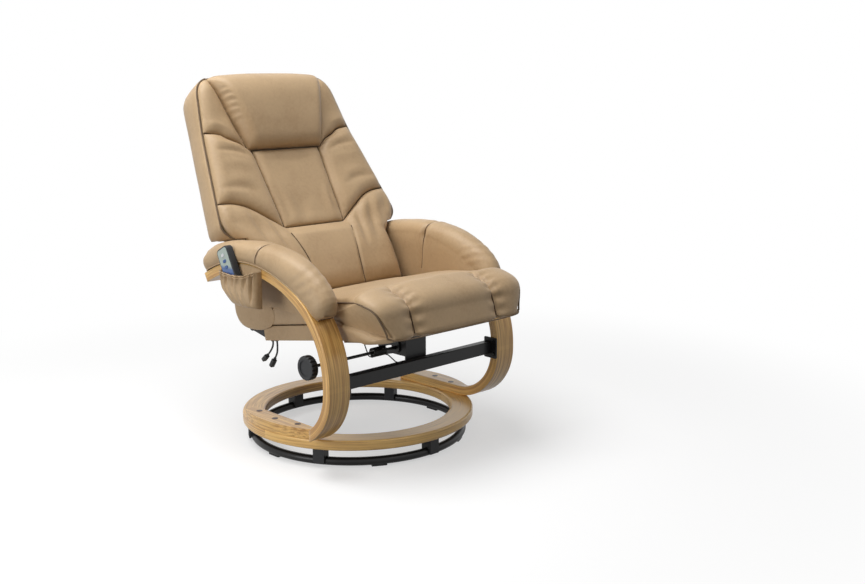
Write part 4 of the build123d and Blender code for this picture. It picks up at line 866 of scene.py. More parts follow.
class Stitcher:
    """Runs of thread made with Geometry Nodes along a line."""

    def __init__(self, finish: Material) -> None:
        """Builds the tree: a line, resampled, one short thread on each point.

        Args:
            finish: The thread's finish.
        """
        self.tree = bpy.data.node_groups.new("stitch run", "GeometryNodeTree")
        face = self.tree.interface
        face.new_socket("Line", in_out="INPUT", socket_type="NodeSocketGeometry")
        self.sockets = {}
        for label, value in (("Pitch", 0.0055), ("Thread length", 0.0036), ("Thread radius", 0.0004)):
            socket = face.new_socket(label, in_out="INPUT", socket_type="NodeSocketFloat")
            socket.default_value = value
            self.sockets[label] = socket.identifier
        face.new_socket("Stitches", in_out="OUTPUT", socket_type="NodeSocketGeometry")
        n = Tree(self.tree, "GeometryNode")
        entry = self.tree.nodes.new("NodeGroupInput").outputs
        leave = self.tree.nodes.new("NodeGroupOutput")
        line = n.first("MeshToCurve", {0: entry["Line"]})
        points = n.add("CurveToPoints", {"Curve": line, "Length": entry["Pitch"]}, mode="LENGTH").outputs
        rod = n.first("MeshCylinder", {"Vertices": 6, "Radius": entry["Thread radius"],
                                       "Depth": entry["Thread length"]})
        place = n.first("InstanceOnPoints", {"Points": points["Points"], "Rotation": points["Rotation"],
                                             "Instance": rod})
        paint = n.first("SetMaterial", {0: n.first("RealizeInstances", {0: place}), "Material": finish})
        self.tree.links.new(paint, leave.inputs[0])

    def run(self, name: str, lines: Sequence[Array], pitch: float = 5.5) -> Piece:
        """Sews along lines.

        Args:
            name: The piece's name.
            lines: Dense lines.
            pitch: Distance between stitches.

        Returns:
            One plain mesh of all the stitches.
        """
        mesh = bpy.data.meshes.new(name + " line")
        verts, edges = [], []
        for line in lines:
            start = len(verts)
            verts += (np.asarray(line) * MM).tolist()
            edges += [(start + i, start + i + 1) for i in range(len(line) - 1)]
        mesh.from_pydata(verts, edges, [])
        guide = in_scene(name + " line", mesh)
        modifier = guide.modifiers.new("sew", "NODES")
        modifier.node_group = self.tree
        modifier[self.sockets["Pitch"]] = pitch * MM
        graph = bpy.context.evaluated_depsgraph_get()
        sewn = bpy.data.meshes.new_from_object(guide.evaluated_get(graph))
        bpy.data.objects.remove(guide)
        sewn.name = name
        return in_scene(name, sewn)


# The arm rails, shared by the pads and what stays clear of them


PAD_GAP = 2.6
PIVOT_SWING = 88.5


@dataclass(frozen=True)
class Rail:
    """The curve of the arm rail's top and the crown of the pad on it.

    Each bend is (y, z, radius). A crown mark is a share of the padded length and the pad's height there.
    """

    knee: Triple = (-38, 245, 247)
    bend: Triple = (43.5, 103.838, 410)
    start: float = 139.0
    change: float = 120.0
    end: float = 61.36
    pivot: Pair = (213, 460)
    hips: float = 246.0
    crown: Pairs = (
        (-0.018, 20), (-0.014, 31), (-0.003, 44), (0.014, 54), (0.035, 61), (0.064, 65.5),
        (0.123, 68.5), (0.215, 67.5), (0.306, 64.5), (0.393, 60), (0.515, 54), (0.692, 52.5),
        (0.815, 57.5), (0.886, 59), (0.935, 56), (0.965, 49), (0.984, 40), (0.994, 28), (1, 14))

    @property
    def lengths(self) -> Pair:
        """Arc lengths of the two bends."""
        return (math.radians(self.start - self.change) * self.knee[2],
                math.radians(self.change - self.end) * self.bend[2])

    def at(self, share: Array, lift: Array) -> Array:
        """Places points over the rail.

        Args:
            share: Share of the rail's padded length.
            lift: Height above the rail's top.

        Returns:
            Rows of (y, z).
        """
        first, second = self.lengths
        run = np.asarray(share) * (first + second)
        knee = np.radians(self.start) - run / self.knee[2]
        bend = np.radians(self.change) - (run - first) / self.bend[2]
        front = run < first
        angle = np.where(front, knee, bend)
        cy = np.where(front, self.knee[0], self.bend[0])
        cz = np.where(front, self.knee[1], self.bend[1])
        radius = np.where(front, self.knee[2], self.bend[2]) + lift
        return np.stack([cy + radius * np.cos(angle), cz + radius * np.sin(angle)], axis=-1)

    def height(self, share: Array) -> Array:
        """The pad's height at a share of the rail."""
        marks = np.array(self.crown)
        return np.interp(share, marks[:, 0], marks[:, 1])

    def push_out(self, points: Array, centre: Sequence[float], reach: Array | float, picked: Array) -> None:
        """Moves points in their place out to a circle seen from the side.

        Args:
            points: Rows of (x, y, z).
            centre: The circle's (y, z).
            reach: Its radius, one for all or one for each point.
            picked: The points that may move.
        """
        run = points[..., 1:] - np.asarray(centre)
        far = np.hypot(run[..., 0], run[..., 1])
        scale = np.where(picked & (far < reach), reach / np.maximum(far, 1), 1.0)
        points[..., 1:] = np.asarray(centre) + run * scale[..., None]

    def keep_clear(self, points: Array, gap: float = PAD_GAP, swing: float = PIVOT_SWING) -> Array:
        """Moves the hips of the back off the arm pads.

        Args:
            points: Rows of (x, y, z).
            gap: Clearance over the pad.
            swing: Radius about the back's pivot that stays free.

        Returns:
            The moved points.
        """
        pts = np.array(points, float)
        wide = np.abs(pts[..., 0]) > self.hips
        angle = np.degrees(np.arctan2(pts[..., 2] - self.bend[1], pts[..., 1] - self.bend[0]))
        first, second = self.lengths
        share = (first + np.radians(self.change - angle) * self.bend[2]) / (first + second)
        need = self.bend[2] + self.height(np.clip(share, 0.2, 0.95)) + gap
        self.push_out(pts, self.bend[:2], need, wide & (share < 0.97))
        self.push_out(pts, self.pivot, swing, wide)
        return pts


RAIL = Rail()


# The back


@dataclass(frozen=True)
class Fold:
    """One soft fold: a line in the pad's plane, its width and its height."""

    line: Pairs
    width: float
    height: float

    def at(self, points: Array) -> Array:
        """Measures the fold.

        Args:
            points: Points in the plane.

        Returns:
            The fold's height at each point, faded out at the line's ends.
        """
        line = smooth_line(self.line, 12)
        flat = points.reshape(-1, 2)
        run = line[-1] - line[0]
        share = np.clip(((flat - line[0]) @ run) / float(run @ run), 0, 1)
        fade = np.clip(4 * share * (1 - share), 0, 1) ** 0.8
        rise = self.height * fade * bell(distance_to(flat, line), self.width)
        return rise.reshape(points.shape[:-1])


def folds(side: int, rows: Sequence[tuple]) -> tuple[Fold, ...]:
    """The folds of one side, from rows of a line on the left side, a width and a height."""
    return tuple(Fold(tuple((side * x, s) for x, s in line), width, height) for line, width, height in rows)


@dataclass
class BackPad:
    """One stuffed leather panel of the back.

    Its sides are the lower, right, upper and left lines. An edge is the height at a side, and a reach is
    how far in from it the padding is full.
    """

    name: str
    node: str
    sides: Sequence[Array]
    level: Callable[[Array], Array]
    edges: Sequence[float]
    reaches: Sequence[float]
    size: tuple[int, int]
    folds: tuple[Fold, ...] = ()
    seed: int = 1
    fill: float = 0.7
    calm_reach: float = 26.0
    least: float = 1.2
    underside: float = 0.4

    def build(self, finish: Material) -> Piece:
        """Makes the pad: full in the middle, drawn down along each seam.

        Args:
            finish: Its leather.

        Returns:
            The finished pad.
        """
        rows, cols = self.size
        plan = patch(*self.sides, rows, cols)
        flat = plan.reshape(-1, 2)
        gaps = [distance_to(flat, even(side, 60)) for side in self.sides]
        height = self.level(flat)
        for gap, edge, reach in zip(gaps, self.edges, self.reaches):
            height = edge + (height - edge) * shoulder(gap, reach)
        calm = np.min([np.ones(len(flat))] + [shoulder(gap, self.calm_reach) for gap in gaps], axis=0)
        height = height + waves(flat, 110, self.seed, 0.9) * calm
        for fold in self.folds:
            height = height + fold.at(flat) * calm
        top = np.dstack([plan, np.maximum(height, self.least).reshape(rows, cols)])
        under = np.dstack([plan, np.full((rows, cols), self.underside)])
        obj = slab(self.name, RAIL.keep_clear(on_back(top)), RAIL.keep_clear(on_back(under, dish=0.0)))
        return settle(obj, finish, "back", (self.node,))


@dataclass
class Backrest:
    """The padded back: shell, pads, pillow, seams, piping and foot.

    Points of its plan are (x, s), across and up the back, and depths are measured out of its front plane.
    Seams and folds are listed for the left side.
    """

    shop: Workshop
    stitcher: Stitcher
    hip: Pair = (310, -85)
    top: Pair = (230, 376)
    waist: Pair = (240, -150)
    low: float = -300.0
    inset: float = 5.0
    seam_gap: float = 0.9
    seam_radius: float = 1.15
    stitch_pitch: float = 5.0
    stitch_lift: float = 1.3
    piping_radius: float = 2.2
    piping_inset: float = 2.9
    panel_low: Pair = (105, -97)
    panel_high: Pair = (116, 147)
    lower_seam: Pairs = ((105, -97), (130, -78), (170, -50), (207, -26), (245, -13), (290.5, -8))
    upper_seam: Pairs = ((117, 144), (130, 152), (156, 171), (186, 185), (210, 199), (252.7, 206))
    tuck: Pairs = ((112, -104), (98, -160), (86, -225), (78, -310))
    tuck_width: float = 6.0
    tuck_depth: float = 4.5
    hip_line: Pairs = ((262, -124), (288, -97), (298.5, -62), (292.5, -9))
    pillow_low: Pair = (128, 149)
    pillow_high: Pair = (201, 404)
    pillow_gap: float = 1.4
    pillow_profile: Pairs = (
        (366, -44), (376, -45), (381, -24), (381.5, -2), (376.5, 19), (362.5, 37),
        (339, 51.5), (298, 60.5), (248, 62), (208, 58), (173, 48), (154, 31),
        (149.8, 11), (149.6, 1))
    shell_steps: Pairs = (
        (150, -72), (90, -71.5), (34, -69), (15, -62), (9.5, -48), (8.5, -10), (7.5, -1.2),
        (4, -0.4), (1.2, -1.2), (-0.6, -5), (-1.8, -20), (-2.2, -38), (-1.2, -54), (2.5, -66),
        (9, -73), (20, -76.5), (40, -78.5), (90, -80.5), (150, -81.5))
    centre_folds: tuple[tuple, ...] = (
        (((-88, -96), (-80, -30), (-92, 40)), 11, -2.4),
        (((-56, -96), (-58, -30), (-74, 40)), 15, 2.4),
        (((98, -96), (90, -40), (96, 30)), 9, -2.8),
        (((74, -95), (70, -45), (80, 20)), 14, 2.2),
        (((12, -96), (2, -20)), 22, 1.6),
        (((-22, -96), (-26, -10)), 14, -1.4),
        (((-100, 118), (0, 108), (100, 120)), 13, -2.2))
    middle_folds: tuple[tuple, ...] = (
        (((130, 122), (180, 140), (250, 148)), 8, -3.2),
        (((124, 142), (176, 162), (240, 172)), 10, 2.6),
        (((130, 96), (190, 106), (250, 108)), 14, 1.8),
        (((150, 12), (205, 30), (276, 34)), 11, -3),
        (((160, 48), (236, 60)), 14, 2))
    upper_folds: tuple[tuple, ...] = (
        (((176, 212), (210, 224), (238, 226)), 9, 1.4),
        (((170, 235), (196, 262)), 10, -1.2))
    lumbar_folds: tuple[tuple, ...] = (
        (((196, -34), (170, -100), (150, -190)), 13, 3.6),
        (((214, -30), (196, -100), (180, -180)), 10, -3),
        (((160, -50), (146, -110), (132, -190)), 9, -2.8),
        (((138, -70), (124, -125), (112, -200)), 11, 2.6),
        (((244, -20), (226, -80), (210, -140)), 13, 3.2),
        (((274, -25), (258, -90)), 10, -2.4))

    def pillow_x(self, s: Array) -> Array:
        """Half width of the pillow."""
        share = (np.asarray(s) - self.pillow_low[1]) / (self.pillow_high[1] - self.pillow_low[1])
        return self.pillow_low[0] + (self.pillow_high[0] - self.pillow_low[0]) * share

    def outline(self, inset: float, count: int) -> Array:
        """Draws the back's front outline.

        Args:
            inset: How far it lies inside the edge.
            count: How many points it gets.

        Returns:
            Rows of (x, s); the last one repeats the first.
        """
        waist = self.waist[0] - inset
        half = [(waist, self.low + inset), (waist, self.waist[1] + inset / 2),
                (self.hip[0] - inset, self.hip[1]), (self.top[0] - inset, self.top[1] - inset)]
        radii = [8.0, 22.0, 42.0, max(74.0 - inset, 8.0)]
        points = half + [(-x, s) for x, s in reversed(half)]
        return rounded(points, radii + radii[::-1], count)

    def level(self, flat: Array) -> Array:
        """Measures how far the padding stands out over the back's plane.

        Args:
            flat: Rows of (x, s).

        Returns:
            One height for each point: full at the small of the back, lower in the middle than in the wings.
        """
        x, s = np.abs(flat[:, 0]), flat[:, 1]
        lumbar = 36.0 * bell(s + 195, 160)
        wing = 26.0 - 5.0 * eased(s, 150, 270)
        centre = np.exp(-(x / 120.0) ** 4)
        middle = wing * (1 - centre) + 15.0 * centre
        share = np.clip((-s - 60) / 70, 0, 1)
        return np.maximum(middle * (1 - share) + lumbar * share, 8.0 * (1 - share) + 16.0 * share)

    def mirrored(self, line: Sequence[Sequence[float]], side: int) -> Array:
        """A seam on one side of the back."""
        return np.array([(x * side, s) for x, s in line], float)

    def shell(self) -> Piece:
        """Makes the leather boxing and rear panel, thicker behind the seat.

        Returns:
            One closed skin, from the tray's floor over its rim and round to the rear.
        """
        count = 260
        base = self.outline(0.0, count)[:-1]
        centre = np.array([0.0, 60.0])
        spine = np.stack([np.clip(base[:, 0], -60, 60), np.clip(base[:, 1], -210, 300)], axis=1)
        inward = spine - base
        inward = inward / np.maximum(np.linalg.norm(inward, axis=1, keepdims=True), 1e-6)
        rings = []
        for inset, depth in self.shell_steps:
            plan = base + inward * min(inset, 20.0)
            plan = centre + (plan - centre) * (1 - max(inset - 20.0, 0.0) / 210.0)
            flare = 1 + 62.0 * np.clip((-110.0 - plan[:, 1]) / 190, 0, 1) / 76.0
            ring = np.column_stack([plan, depth * flare])
            if -70 < depth < -3 and inset < 6:
                puff = waves(np.column_stack([plan, np.full(count, depth)]), 140, 5, 0.8)
                ring[:, :2] -= inward * puff[:, None]
            ring[:, 1] += 0.07 * depth * eased(plan[:, 1], 290, 380)
            curl = CURL * (1 - min(1.0, max(0.0, -depth / 60.0)))
            gap, swing = (PAD_GAP, PIVOT_SWING) if inset < 3 else (8, 94)
            rings.append(RAIL.keep_clear(on_back(ring, curl), gap, swing))
        return settle(loft("back_cover", rings), self.shop.tan, "back", ("back_shell",))

    def centre_panel(self) -> None:
        """The panel in the middle."""
        gap = self.seam_gap
        left = np.array([(-self.panel_low[0] + gap, self.panel_low[1] + gap),
                         (-self.panel_high[0] + gap, self.panel_high[1] - gap)])
        right = left * [-1, 1]
        sides = (np.array([left[0], right[0]]), right, np.array([left[1], right[1]]), left)
        BackPad("centre_panel", "back_centre_pad", sides, self.level, (6.5, 5.8, 5.8, 5.8),
                (34, 30, 26, 30), (84, 74), folds(1, self.centre_folds), 11).build(self.shop.tan)

    def side_panel(self, side: Side, word: str, lines: Sequence[Array], edges: Sequence[float],
                   reaches: Sequence[float], size: tuple[int, int], rows: Sequence[tuple],
                   seed: int) -> None:
        """Makes one panel beside the centre.

        Args:
            side: The sitter's side.
            word: Which panel.
            lines: Its lower, outer, upper and inner lines, the first and third from the middle outwards.
            edges: The heights at these lines.
            reaches: How far in from each line the padding is full.
            size: Rows and columns of its points.
            rows: Its folds.
            seed: Which unevenness.
        """
        if side is Side.RIGHT:
            low, outer, high, inner = lines
            lines = (low[::-1], inner, high[::-1], outer)
            edges = (edges[0], edges[3], edges[2], edges[1])
            reaches = (reaches[0], reaches[3], reaches[2], reaches[1])
        name = f"{side.word}_{word}"
        BackPad(f"{name}_panel", f"{name}_wing", lines, self.level, edges, reaches, size,
                folds(side.value, rows), seed + side.value).build(self.shop.tan)

    def middle_panel(self, side: Side) -> None:
        """The long panel beside the centre, between the two slanting seams.

        Args:
            side: The sitter's side.
        """
        k, gap = side.value, self.seam_gap
        low = smooth_line(self.mirrored(self.lower_seam, k), 60) + [0, gap]
        high = smooth_line(self.mirrored(self.upper_seam, k), 60) - [0, gap]
        inner = np.array([low[0] + [k * gap, 0], high[0] + [k * gap, 0]])
        outer = np.array([low[-1], high[-1]])
        low[0], high[0] = inner[0], inner[1]
        self.side_panel(side, "middle", (low, outer, high, inner), (6, 3.6, 6, 5.5),
                        (34, 34, 32, 30), (78, 58), self.middle_folds, 20)

    def upper_panel(self, side: Side) -> None:
        """The small panel beside the pillow, out to the back's rounded corner.

        Args:
            side: The sitter's side.
        """
        k, gap = side.value, self.pillow_gap
        start = (k * (float(self.pillow_x(151.0)) + gap), 151.4)
        low = smooth_line([start] + [(k * x, s + self.seam_gap) for x, s in self.upper_seam[2:]], 60)
        rim = self.outline(self.inset + 0.4, 700)[:-1]
        rim = rim[(rim[:, 0] > 0) & (rim[:, 1] > 212) & (rim[:, 0] > self.pillow_x(rim[:, 1]) + gap)]
        corner = rim[np.argsort(np.arctan2(rim[:, 1] - 200.0, rim[:, 0] - 120.0))] * [k, 1]
        outer = even(np.vstack([low[-1][None], corner]), 90)
        tip = float(outer[-1][1] - 1.0) - 2.0
        inner_top = (k * (float(self.pillow_x(tip)) + gap), tip)
        inner = np.array([low[0], inner_top])
        high = np.array([inner_top, outer[-1]])
        self.side_panel(side, "upper", (low, outer, high, inner), (6, 3.6, 5, 6),
                        (30, 34, 20, 26), (66, 34), self.upper_folds, 30)

    def tuck_fold(self, side: int) -> Fold:
        """The curved tuck down one side of the lumbar panel."""
        return folds(side, ((self.tuck, self.tuck_width, -self.tuck_depth),))[0]

    def lumbar(self) -> None:
        """The full panel at the small of the back, from hip to hip."""
        seam = smooth_line(self.mirrored(self.lower_seam, 1), 60)
        top = np.vstack([seam[::-1] * [-1, 1], seam]) - [0, self.seam_gap]
        half = self.waist[0] - self.inset - 1.0
        hip = smooth_line([(half, self.waist[1]), *self.hip_line], 40)
        right = np.vstack([smooth_line([(half - 1, self.low + 6), (half, -165.0)], 20), hip])
        right[-1] = top[-1]
        left = right * [-1, 1]
        bottom = np.array([left[0], right[0]])
        soft = [fold for k in (-1, 1) for fold in (self.tuck_fold(k), *folds(k, self.lumbar_folds))]
        soft.append(Fold(((-120, -140), (0, -130), (120, -140)), 30.0, 3.0))
        BackPad("lumbar_panel", "lumbar_pad", (bottom, right, top, left), self.level, (6, 4, 6.5, 4),
                (44, 34, 40, 34), (92, 170), tuple(soft), 41).build(self.shop.tan)

    def pillow(self) -> Piece:
        """Makes the head roll, over the top of the back, puckered along the sitter's right seam.

        Returns:
            The roll.
        """
        profile = smooth_line(self.pillow_profile, 96)
        s, o = profile[:, 0], profile[:, 1]
        half = self.pillow_x(s)
        seat, crest = 6.0, 362.0
        stations = np.r_[np.linspace(-1, -0.86, 14), np.linspace(-0.84, 0.84, 60), np.linspace(0.86, 1, 14)]
        rings = []
        for u in stations:
            away = (1 - abs(u)) * half
            full = shoulder(away, 34)
            out = np.where(o > seat, seat + (o - seat) * full, o)
            up = np.where(s > crest, crest + (s - crest) * (0.30 + 0.70 * full), s)
            up = up - 9.0 * abs(u) ** 2.0 * eased(s, 290, 368)
            gathers = np.sin(s / 4.1) * bell(s - 276, 50)
            pinch = 2.6 * (1 - full) * np.where((s < 367.0) & (u < 0), gathers, 0)
            near = bell(away - 6, 8) * np.where((u < 0) & (o > 12), 1.0, 0.0)
            pucker = 3.4 * near * np.sin(s / 3.1 + away / 7.0) * bell(s - 276, 44)
            soft = waves(np.stack([u * half, s], axis=1), 120, 7, 0.9) * full
            out = out + pinch + pucker + np.where(o > 14, soft, 0)
            back = slice(-2, 1, -1)
            deep = np.where(s[back] > 370.0, np.minimum(o[back], 0.8), 0.8)
            rear = np.stack([u * half[back], np.minimum(s[back], crest), deep], axis=1)[::4]
            rings.append(on_back(np.vstack([np.stack([u * half, up, out], axis=1), rear])))
        return settle(loft("head_roll", rings), self.shop.tan, "back", ("head_pillow",))

    def seam_lines(self) -> list[Array]:
        """Draws every seam of the front.

        Returns:
            Lines of points in the chair.
        """
        lines = []
        for k in (-1, 1):
            low = smooth_line(self.mirrored(self.lower_seam, k), 90)
            high = smooth_line([(k * 128.5, 150.2)] + [(k * x, s) for x, s in self.upper_seam[2:]], 80)
            ends = ((self.panel_low[0], self.panel_low[1]), (self.panel_high[0], 146.0))
            panel = smooth_line(self.mirrored(ends, k), 80)
            heights = (150, 230, 310, 362)
            roll = smooth_line([(k * (float(self.pillow_x(s)) + 0.8), s) for s in heights], 90)
            lines += [(low, 6.4), (high, 6.4), (panel, 5.9), (roll, 6.8)]
        lines.append((smooth_line([(-105, -97.2), (0, -97.2), (105, -97.2)], 90), 6.8))
        placed = []
        for line, level in lines:
            rows = np.column_stack([line, np.full(len(line), level)])
            placed.append(RAIL.keep_clear(on_back(rows), 4.0, 90.0))
        return placed

    def seams(self) -> None:
        """Dark seam cords in the valleys, painted shade for the shadow there, and dark stitches beside
        them.
        """
        lines = self.seam_lines()
        cords = [tube(f"seam_{i}", line, self.seam_radius, 8) for i, line in enumerate(lines)]
        for k in (-1, 1):
            line = smooth_line(self.mirrored(self.tuck, k), 90)
            high = self.level(line) + self.tuck_fold(k).at(line) + 1.4
            place = on_back(np.column_stack([line, high])[8:])
            cords.append(tube(f"lumbar_seam_{k}", place, self.seam_radius, 8))
        settle(merged("back_seams", cords), self.shop.brown, "back")
        lift = np.array([0.0, *BACK.out]) * self.stitch_lift
        stitches = self.stitcher.run("back_stitches", [line + lift for line in lines], self.stitch_pitch)
        settle(stitches, self.shop.brown, "back")

    def piping(self) -> Piece:
        """Makes the piping round the front edge, from one lower corner over the top to the other.

        Returns:
            The piping.
        """
        line = self.outline(self.piping_inset, 700)
        corner = self.low + 6
        start = int(np.argmin(np.hypot(line[:, 0] - 236, line[:, 1] - corner)))
        line = np.roll(line[:-1], -start, axis=0)
        stop = int(np.argmin(np.hypot(line[:, 0] + 236, line[:, 1] - corner)))
        line = line[:stop + 1] if stop > 350 else line[::-1][:len(line) - stop + 1]
        rows = np.column_stack([line, np.full(len(line), self.piping_inset)])
        under_pillow = (rows[:, 1] > 340) & (np.abs(rows[:, 0]) < self.pillow_x(rows[:, 1]) + 1)
        rows[under_pillow, 2] = -2.0
        place = RAIL.keep_clear(on_back(rows), 5.3, 91.2)
        obj = tube("back_edge_piping", place, self.piping_radius, 12)
        return settle(obj, self.shop.cord, "back", ("back_piping",))

    def build(self) -> None:
        """Makes the whole back."""
        self.shell()
        BackFoot(self.shop).build()
        self.centre_panel()
        for side in Side:
            self.middle_panel(side)
            self.upper_panel(side)
        self.lumbar()
        self.pillow()
        self.seams()
        self.piping()


@dataclass
class BackFoot:
    """Leather over the brackets at both sides and round the foot of the back, down to the hinge.

    Its outlines are (y, z) seen from the side. A cover's ring is a share of its outline and a share of its
    thickness.
    """

    shop: Workshop
    cover: Pairs = (
        (43, 374), (42, 353), (54, 335), (74, 325), (98, 316), (133, 311),
        (171, 311), (200, 320), (219, 341), (226, 368), (229, 398), (229.5, 430),
        (214, 446), (180, 440), (142, 424), (104, 406), (66, 395), (43, 374))
    middle: Pair = (150, 372)
    rings: Pairs = (
        (1, 0), (1, 0.12), (0.995, 0.28), (0.98, 0.46), (0.955, 0.64), (0.91, 0.80), (0.6, 0.96), (0.2, 1))
    inner: float = 245.2
    outer: float = 249.5
    beside_cushion: float = 3.1
    wrap: Pairs = (
        (152, 297.5), (176, 302), (199, 314), (220, 338), (228, 366), (230, 400),
        (229.5, 432), (228.5, 456), (225.5, 482))
    wrap_half: float = 231.5
    wrap_thick: float = 3.0
    wrap_crown: float = 5.0

    def side_cover(self, side: Side) -> Piece:
        """Makes the cover over the bracket on one side.

        Args:
            side: The sitter's side.

        Returns:
            The cover, thinner where it passes outside the cushion.
        """
        outline = smooth_line(self.cover, 240)[:-1]
        middle = np.array(self.middle)
        rings = []
        for shrink, share in self.rings:
            plan = middle + (outline - middle) * shrink
            low = self.inner + self.beside_cushion * (1 - eased(plan[:, 0], 68, 82))
            x = low + (self.outer - low) * share + 0.2 * waves(plan, 60, 51, 1) * share
            rings.append(np.column_stack([x * side.value, plan]))
        obj = loft(f"{side.word}_foot_cover", rings)
        return settle(obj, self.shop.tan, "back", ())

    def rear_wrap(self) -> Piece:
        """Makes the leather that runs round the foot from the rear panel to the hinge.

        Returns:
            The wrap.
        """
        path = smooth_line(self.wrap, 70)
        run = np.gradient(path, axis=0)
        xs = np.linspace(-self.wrap_half, self.wrap_half, 60)
        crown = self.wrap_crown * (np.abs(xs) / self.wrap_half) ** 4

        def layer(depth: float) -> Array:
            """The wrap's surface at a depth in its leather."""
            return np.array([[(x, *(here - away * (dip + depth))) for x, dip in zip(xs, crown)]
                             for here, away in zip(path, square_to(run))])

        wrap = slab("foot_wrap", layer(0.0), layer(self.wrap_thick))
        settle(wrap, self.shop.tan, "back")
        return wrap

    def build(self) -> None:
        """Makes both covers and the wrap."""
        for side in Side:
            self.side_cover(side)
        self.rear_wrap()


# The seat


@dataclass
class Seat:
    """The seat: cushion, piping, skirt and bottom lining.

    Points of its side view are (v, w): along the seat towards the rear and up from the frame's
    underside.
    """

    shop: Workshop
    half: float = 248.0
    front_half: float = 262.0
    flare: Pair = (-152, -222)
    nose: float = -291.0
    corner_reach: float = 72.0
    corner_cut: float = 32.0
    corner_cut_below: float = 30.0
    channel: float = 145.0
    profile_points: int = 300
    corners: Pairs = (
        (170, 41), (170, 102), (-30, 117), (-204, 114), (-272, 74), (-285, -8),
        (-119.6, -8), (-119.6, 41))
    radii: tuple[float, ...] = (2, 18, 300, 55, 46, 14, 3, 1)
    side_piping: float = 2.4
    front_piping: float = 1.8
    front_piping_line: Triples = ((-200, -286, -6), (-60, -289, -7), (60, -289, -7), (200, -286, -6))
    tuck_radius: float = 1.5
    tuck_sink: float = 9.6
    skirt_x: float = 241.7
    skirt_front: float = -112.7
    skirt_rear: float = 214.7
    skirt_rear_half: float = 232.5
    skirt_heights: Pair = (0.6, 40)
    skirt_thick: float = 4.4
    lining_half: float = 232.0
    lining_front: float = -107.0
    lining_rear: float = 209.0
    lining_sag: float = 2.4
    plate_place: float = -26.0
    plate_reach: float = 96.0

    def half_width(self, v: Array, w: Array) -> Array:
        """Measures the cushion's half width, its front corners rounded in plan and below.

        Args:
            v: Places along the seat.
            w: Heights.

        Returns:
            The half width at each place.
        """
        share = eased(-np.asarray(v), -self.flare[0], -self.flare[1])
        corner = 1 - shoulder(np.clip(np.asarray(v) - self.nose, 0, None), self.corner_reach)
        below = 1 - eased(np.asarray(w), 0, 75)
        wider = (self.front_half - self.half) * share * (1 - 0.5 * below)
        return self.half + wider - (self.corner_cut + self.corner_cut_below * below) * corner

    def drop(self, v: Array, w: Array) -> Array:
        """How far the side edge lies inside the crown's outline."""
        top = 15.0 * eased(w, 60, 96) * (1 - 0.85 * eased(-v, 188, 250))
        return top + 3.0 + 3.0 * eased(-w, -40, 0)

    def profile(self) -> tuple[Array, Array]:
        """The cushion's side view: its points and the outward direction at each of them."""
        line = rounded(self.corners, self.radii, self.profile_points)[:-1]
        return line, square_to(np.roll(line, -1, axis=0) - np.roll(line, 1, axis=0))

    def cushion(self) -> Piece:
        """Makes the crowned cushion that rolls over the front, with two tucked channels.

        Returns:
            The cushion.
        """
        line, out = self.profile()
        v, w = line[:, 0], line[:, 1]
        ends, wide = (0.93, 16), (0.925, 150)
        stations = np.r_[np.linspace(-1, -ends[0], ends[1]), np.linspace(-wide[0], wide[0], wide[1]),
                         np.linspace(ends[0], 1, ends[1])]
        upper = np.clip((w - 48) / 40, 0, 1)
        front = np.clip((-188.0 - v) / 20, 0, 1)
        roll = front * np.clip((v + 300) / 2, 0, 1)
        half = self.half_width(v, w)
        rings = []
        for u in stations:
            x = u * half
            away = (1 - abs(u)) * half
            inset = self.drop(v, w) * (1 - shoulder(away, 96)) * 0.9 + 6.0 * (1 - shoulder(away, 7))
            crown = 7.5 * upper * shoulder(away, 170) * np.clip((168 - v) / 60, 0, 1)
            gap = np.minimum(np.abs(np.abs(x) - self.channel), 200)
            puff = 8.5 * roll * np.clip(1 - bell(gap, 40), 0, 1) * shoulder(away, 60)
            tuck = 9.5 * roll * bell(gap, 6.5) + 3.5 * roll * bell(gap, 18)
            ripple = 2.0 * front * bell(gap - 14, 16) * np.sin(v / 5.2 + w / 6.4)
            soft = waves(np.stack([x, v, w], axis=1), 130, 3, 1.5) * shoulder(away, 40)
            push = crown + puff - tuck + ripple + soft * np.maximum(upper, front) - inset
            push = np.where((w < 44) & (v > -121), -inset, push)
            push = np.where(w < -4, np.minimum(push, 0.0), push)
            place = line + out * push[:, None]
            rings.append(SEAT.world(np.stack([x, place[:, 0], place[:, 1]], axis=1)))
        obj = loft("seat_cushion_cover", rings)
        return settle(obj, self.shop.tan, "seat", ("seat_cushion",))

    def piping(self) -> Piece:
        """Makes the piping along the upper side edges, down the nose and across under it.

        Returns:
            One piece of three cords.
        """
        line, out = self.profile()
        path = line - out * (self.drop(line[:, 0], line[:, 1]) * 0.9 + 4.0)[:, None]
        pick = (line[:, 1] > -6.5) & (line[:, 0] < 60) & ((line[:, 1] > 97) | (line[:, 0] < -190))
        v, w = line[pick][:, 0], line[pick][:, 1]
        order = np.argsort(-(v - 0.9 * (w < 60) * (60 - w)))
        smooth = smooth_line(path[pick][order][::6], 160)
        cords, ends = [], []
        for side in Side:
            x = side.value * (self.half_width(smooth[:, 0], smooth[:, 1]) - 1.0)
            rows = SEAT.world(np.column_stack([x, smooth]))
            cords.append(tube(f"seat_edge_{side.word}", rows, self.side_piping, 12))
            ends.append((x[-1], *smooth[-1]))
        front = smooth_line([ends[0], *self.front_piping_line, ends[1]], 200)
        cords.append(tube("seat_edge_front", SEAT.world(front), self.front_piping, 10))
        obj = merged("seat_edge_piping", cords)
        return settle(obj, self.shop.cord, "seat", ("seat_piping",))

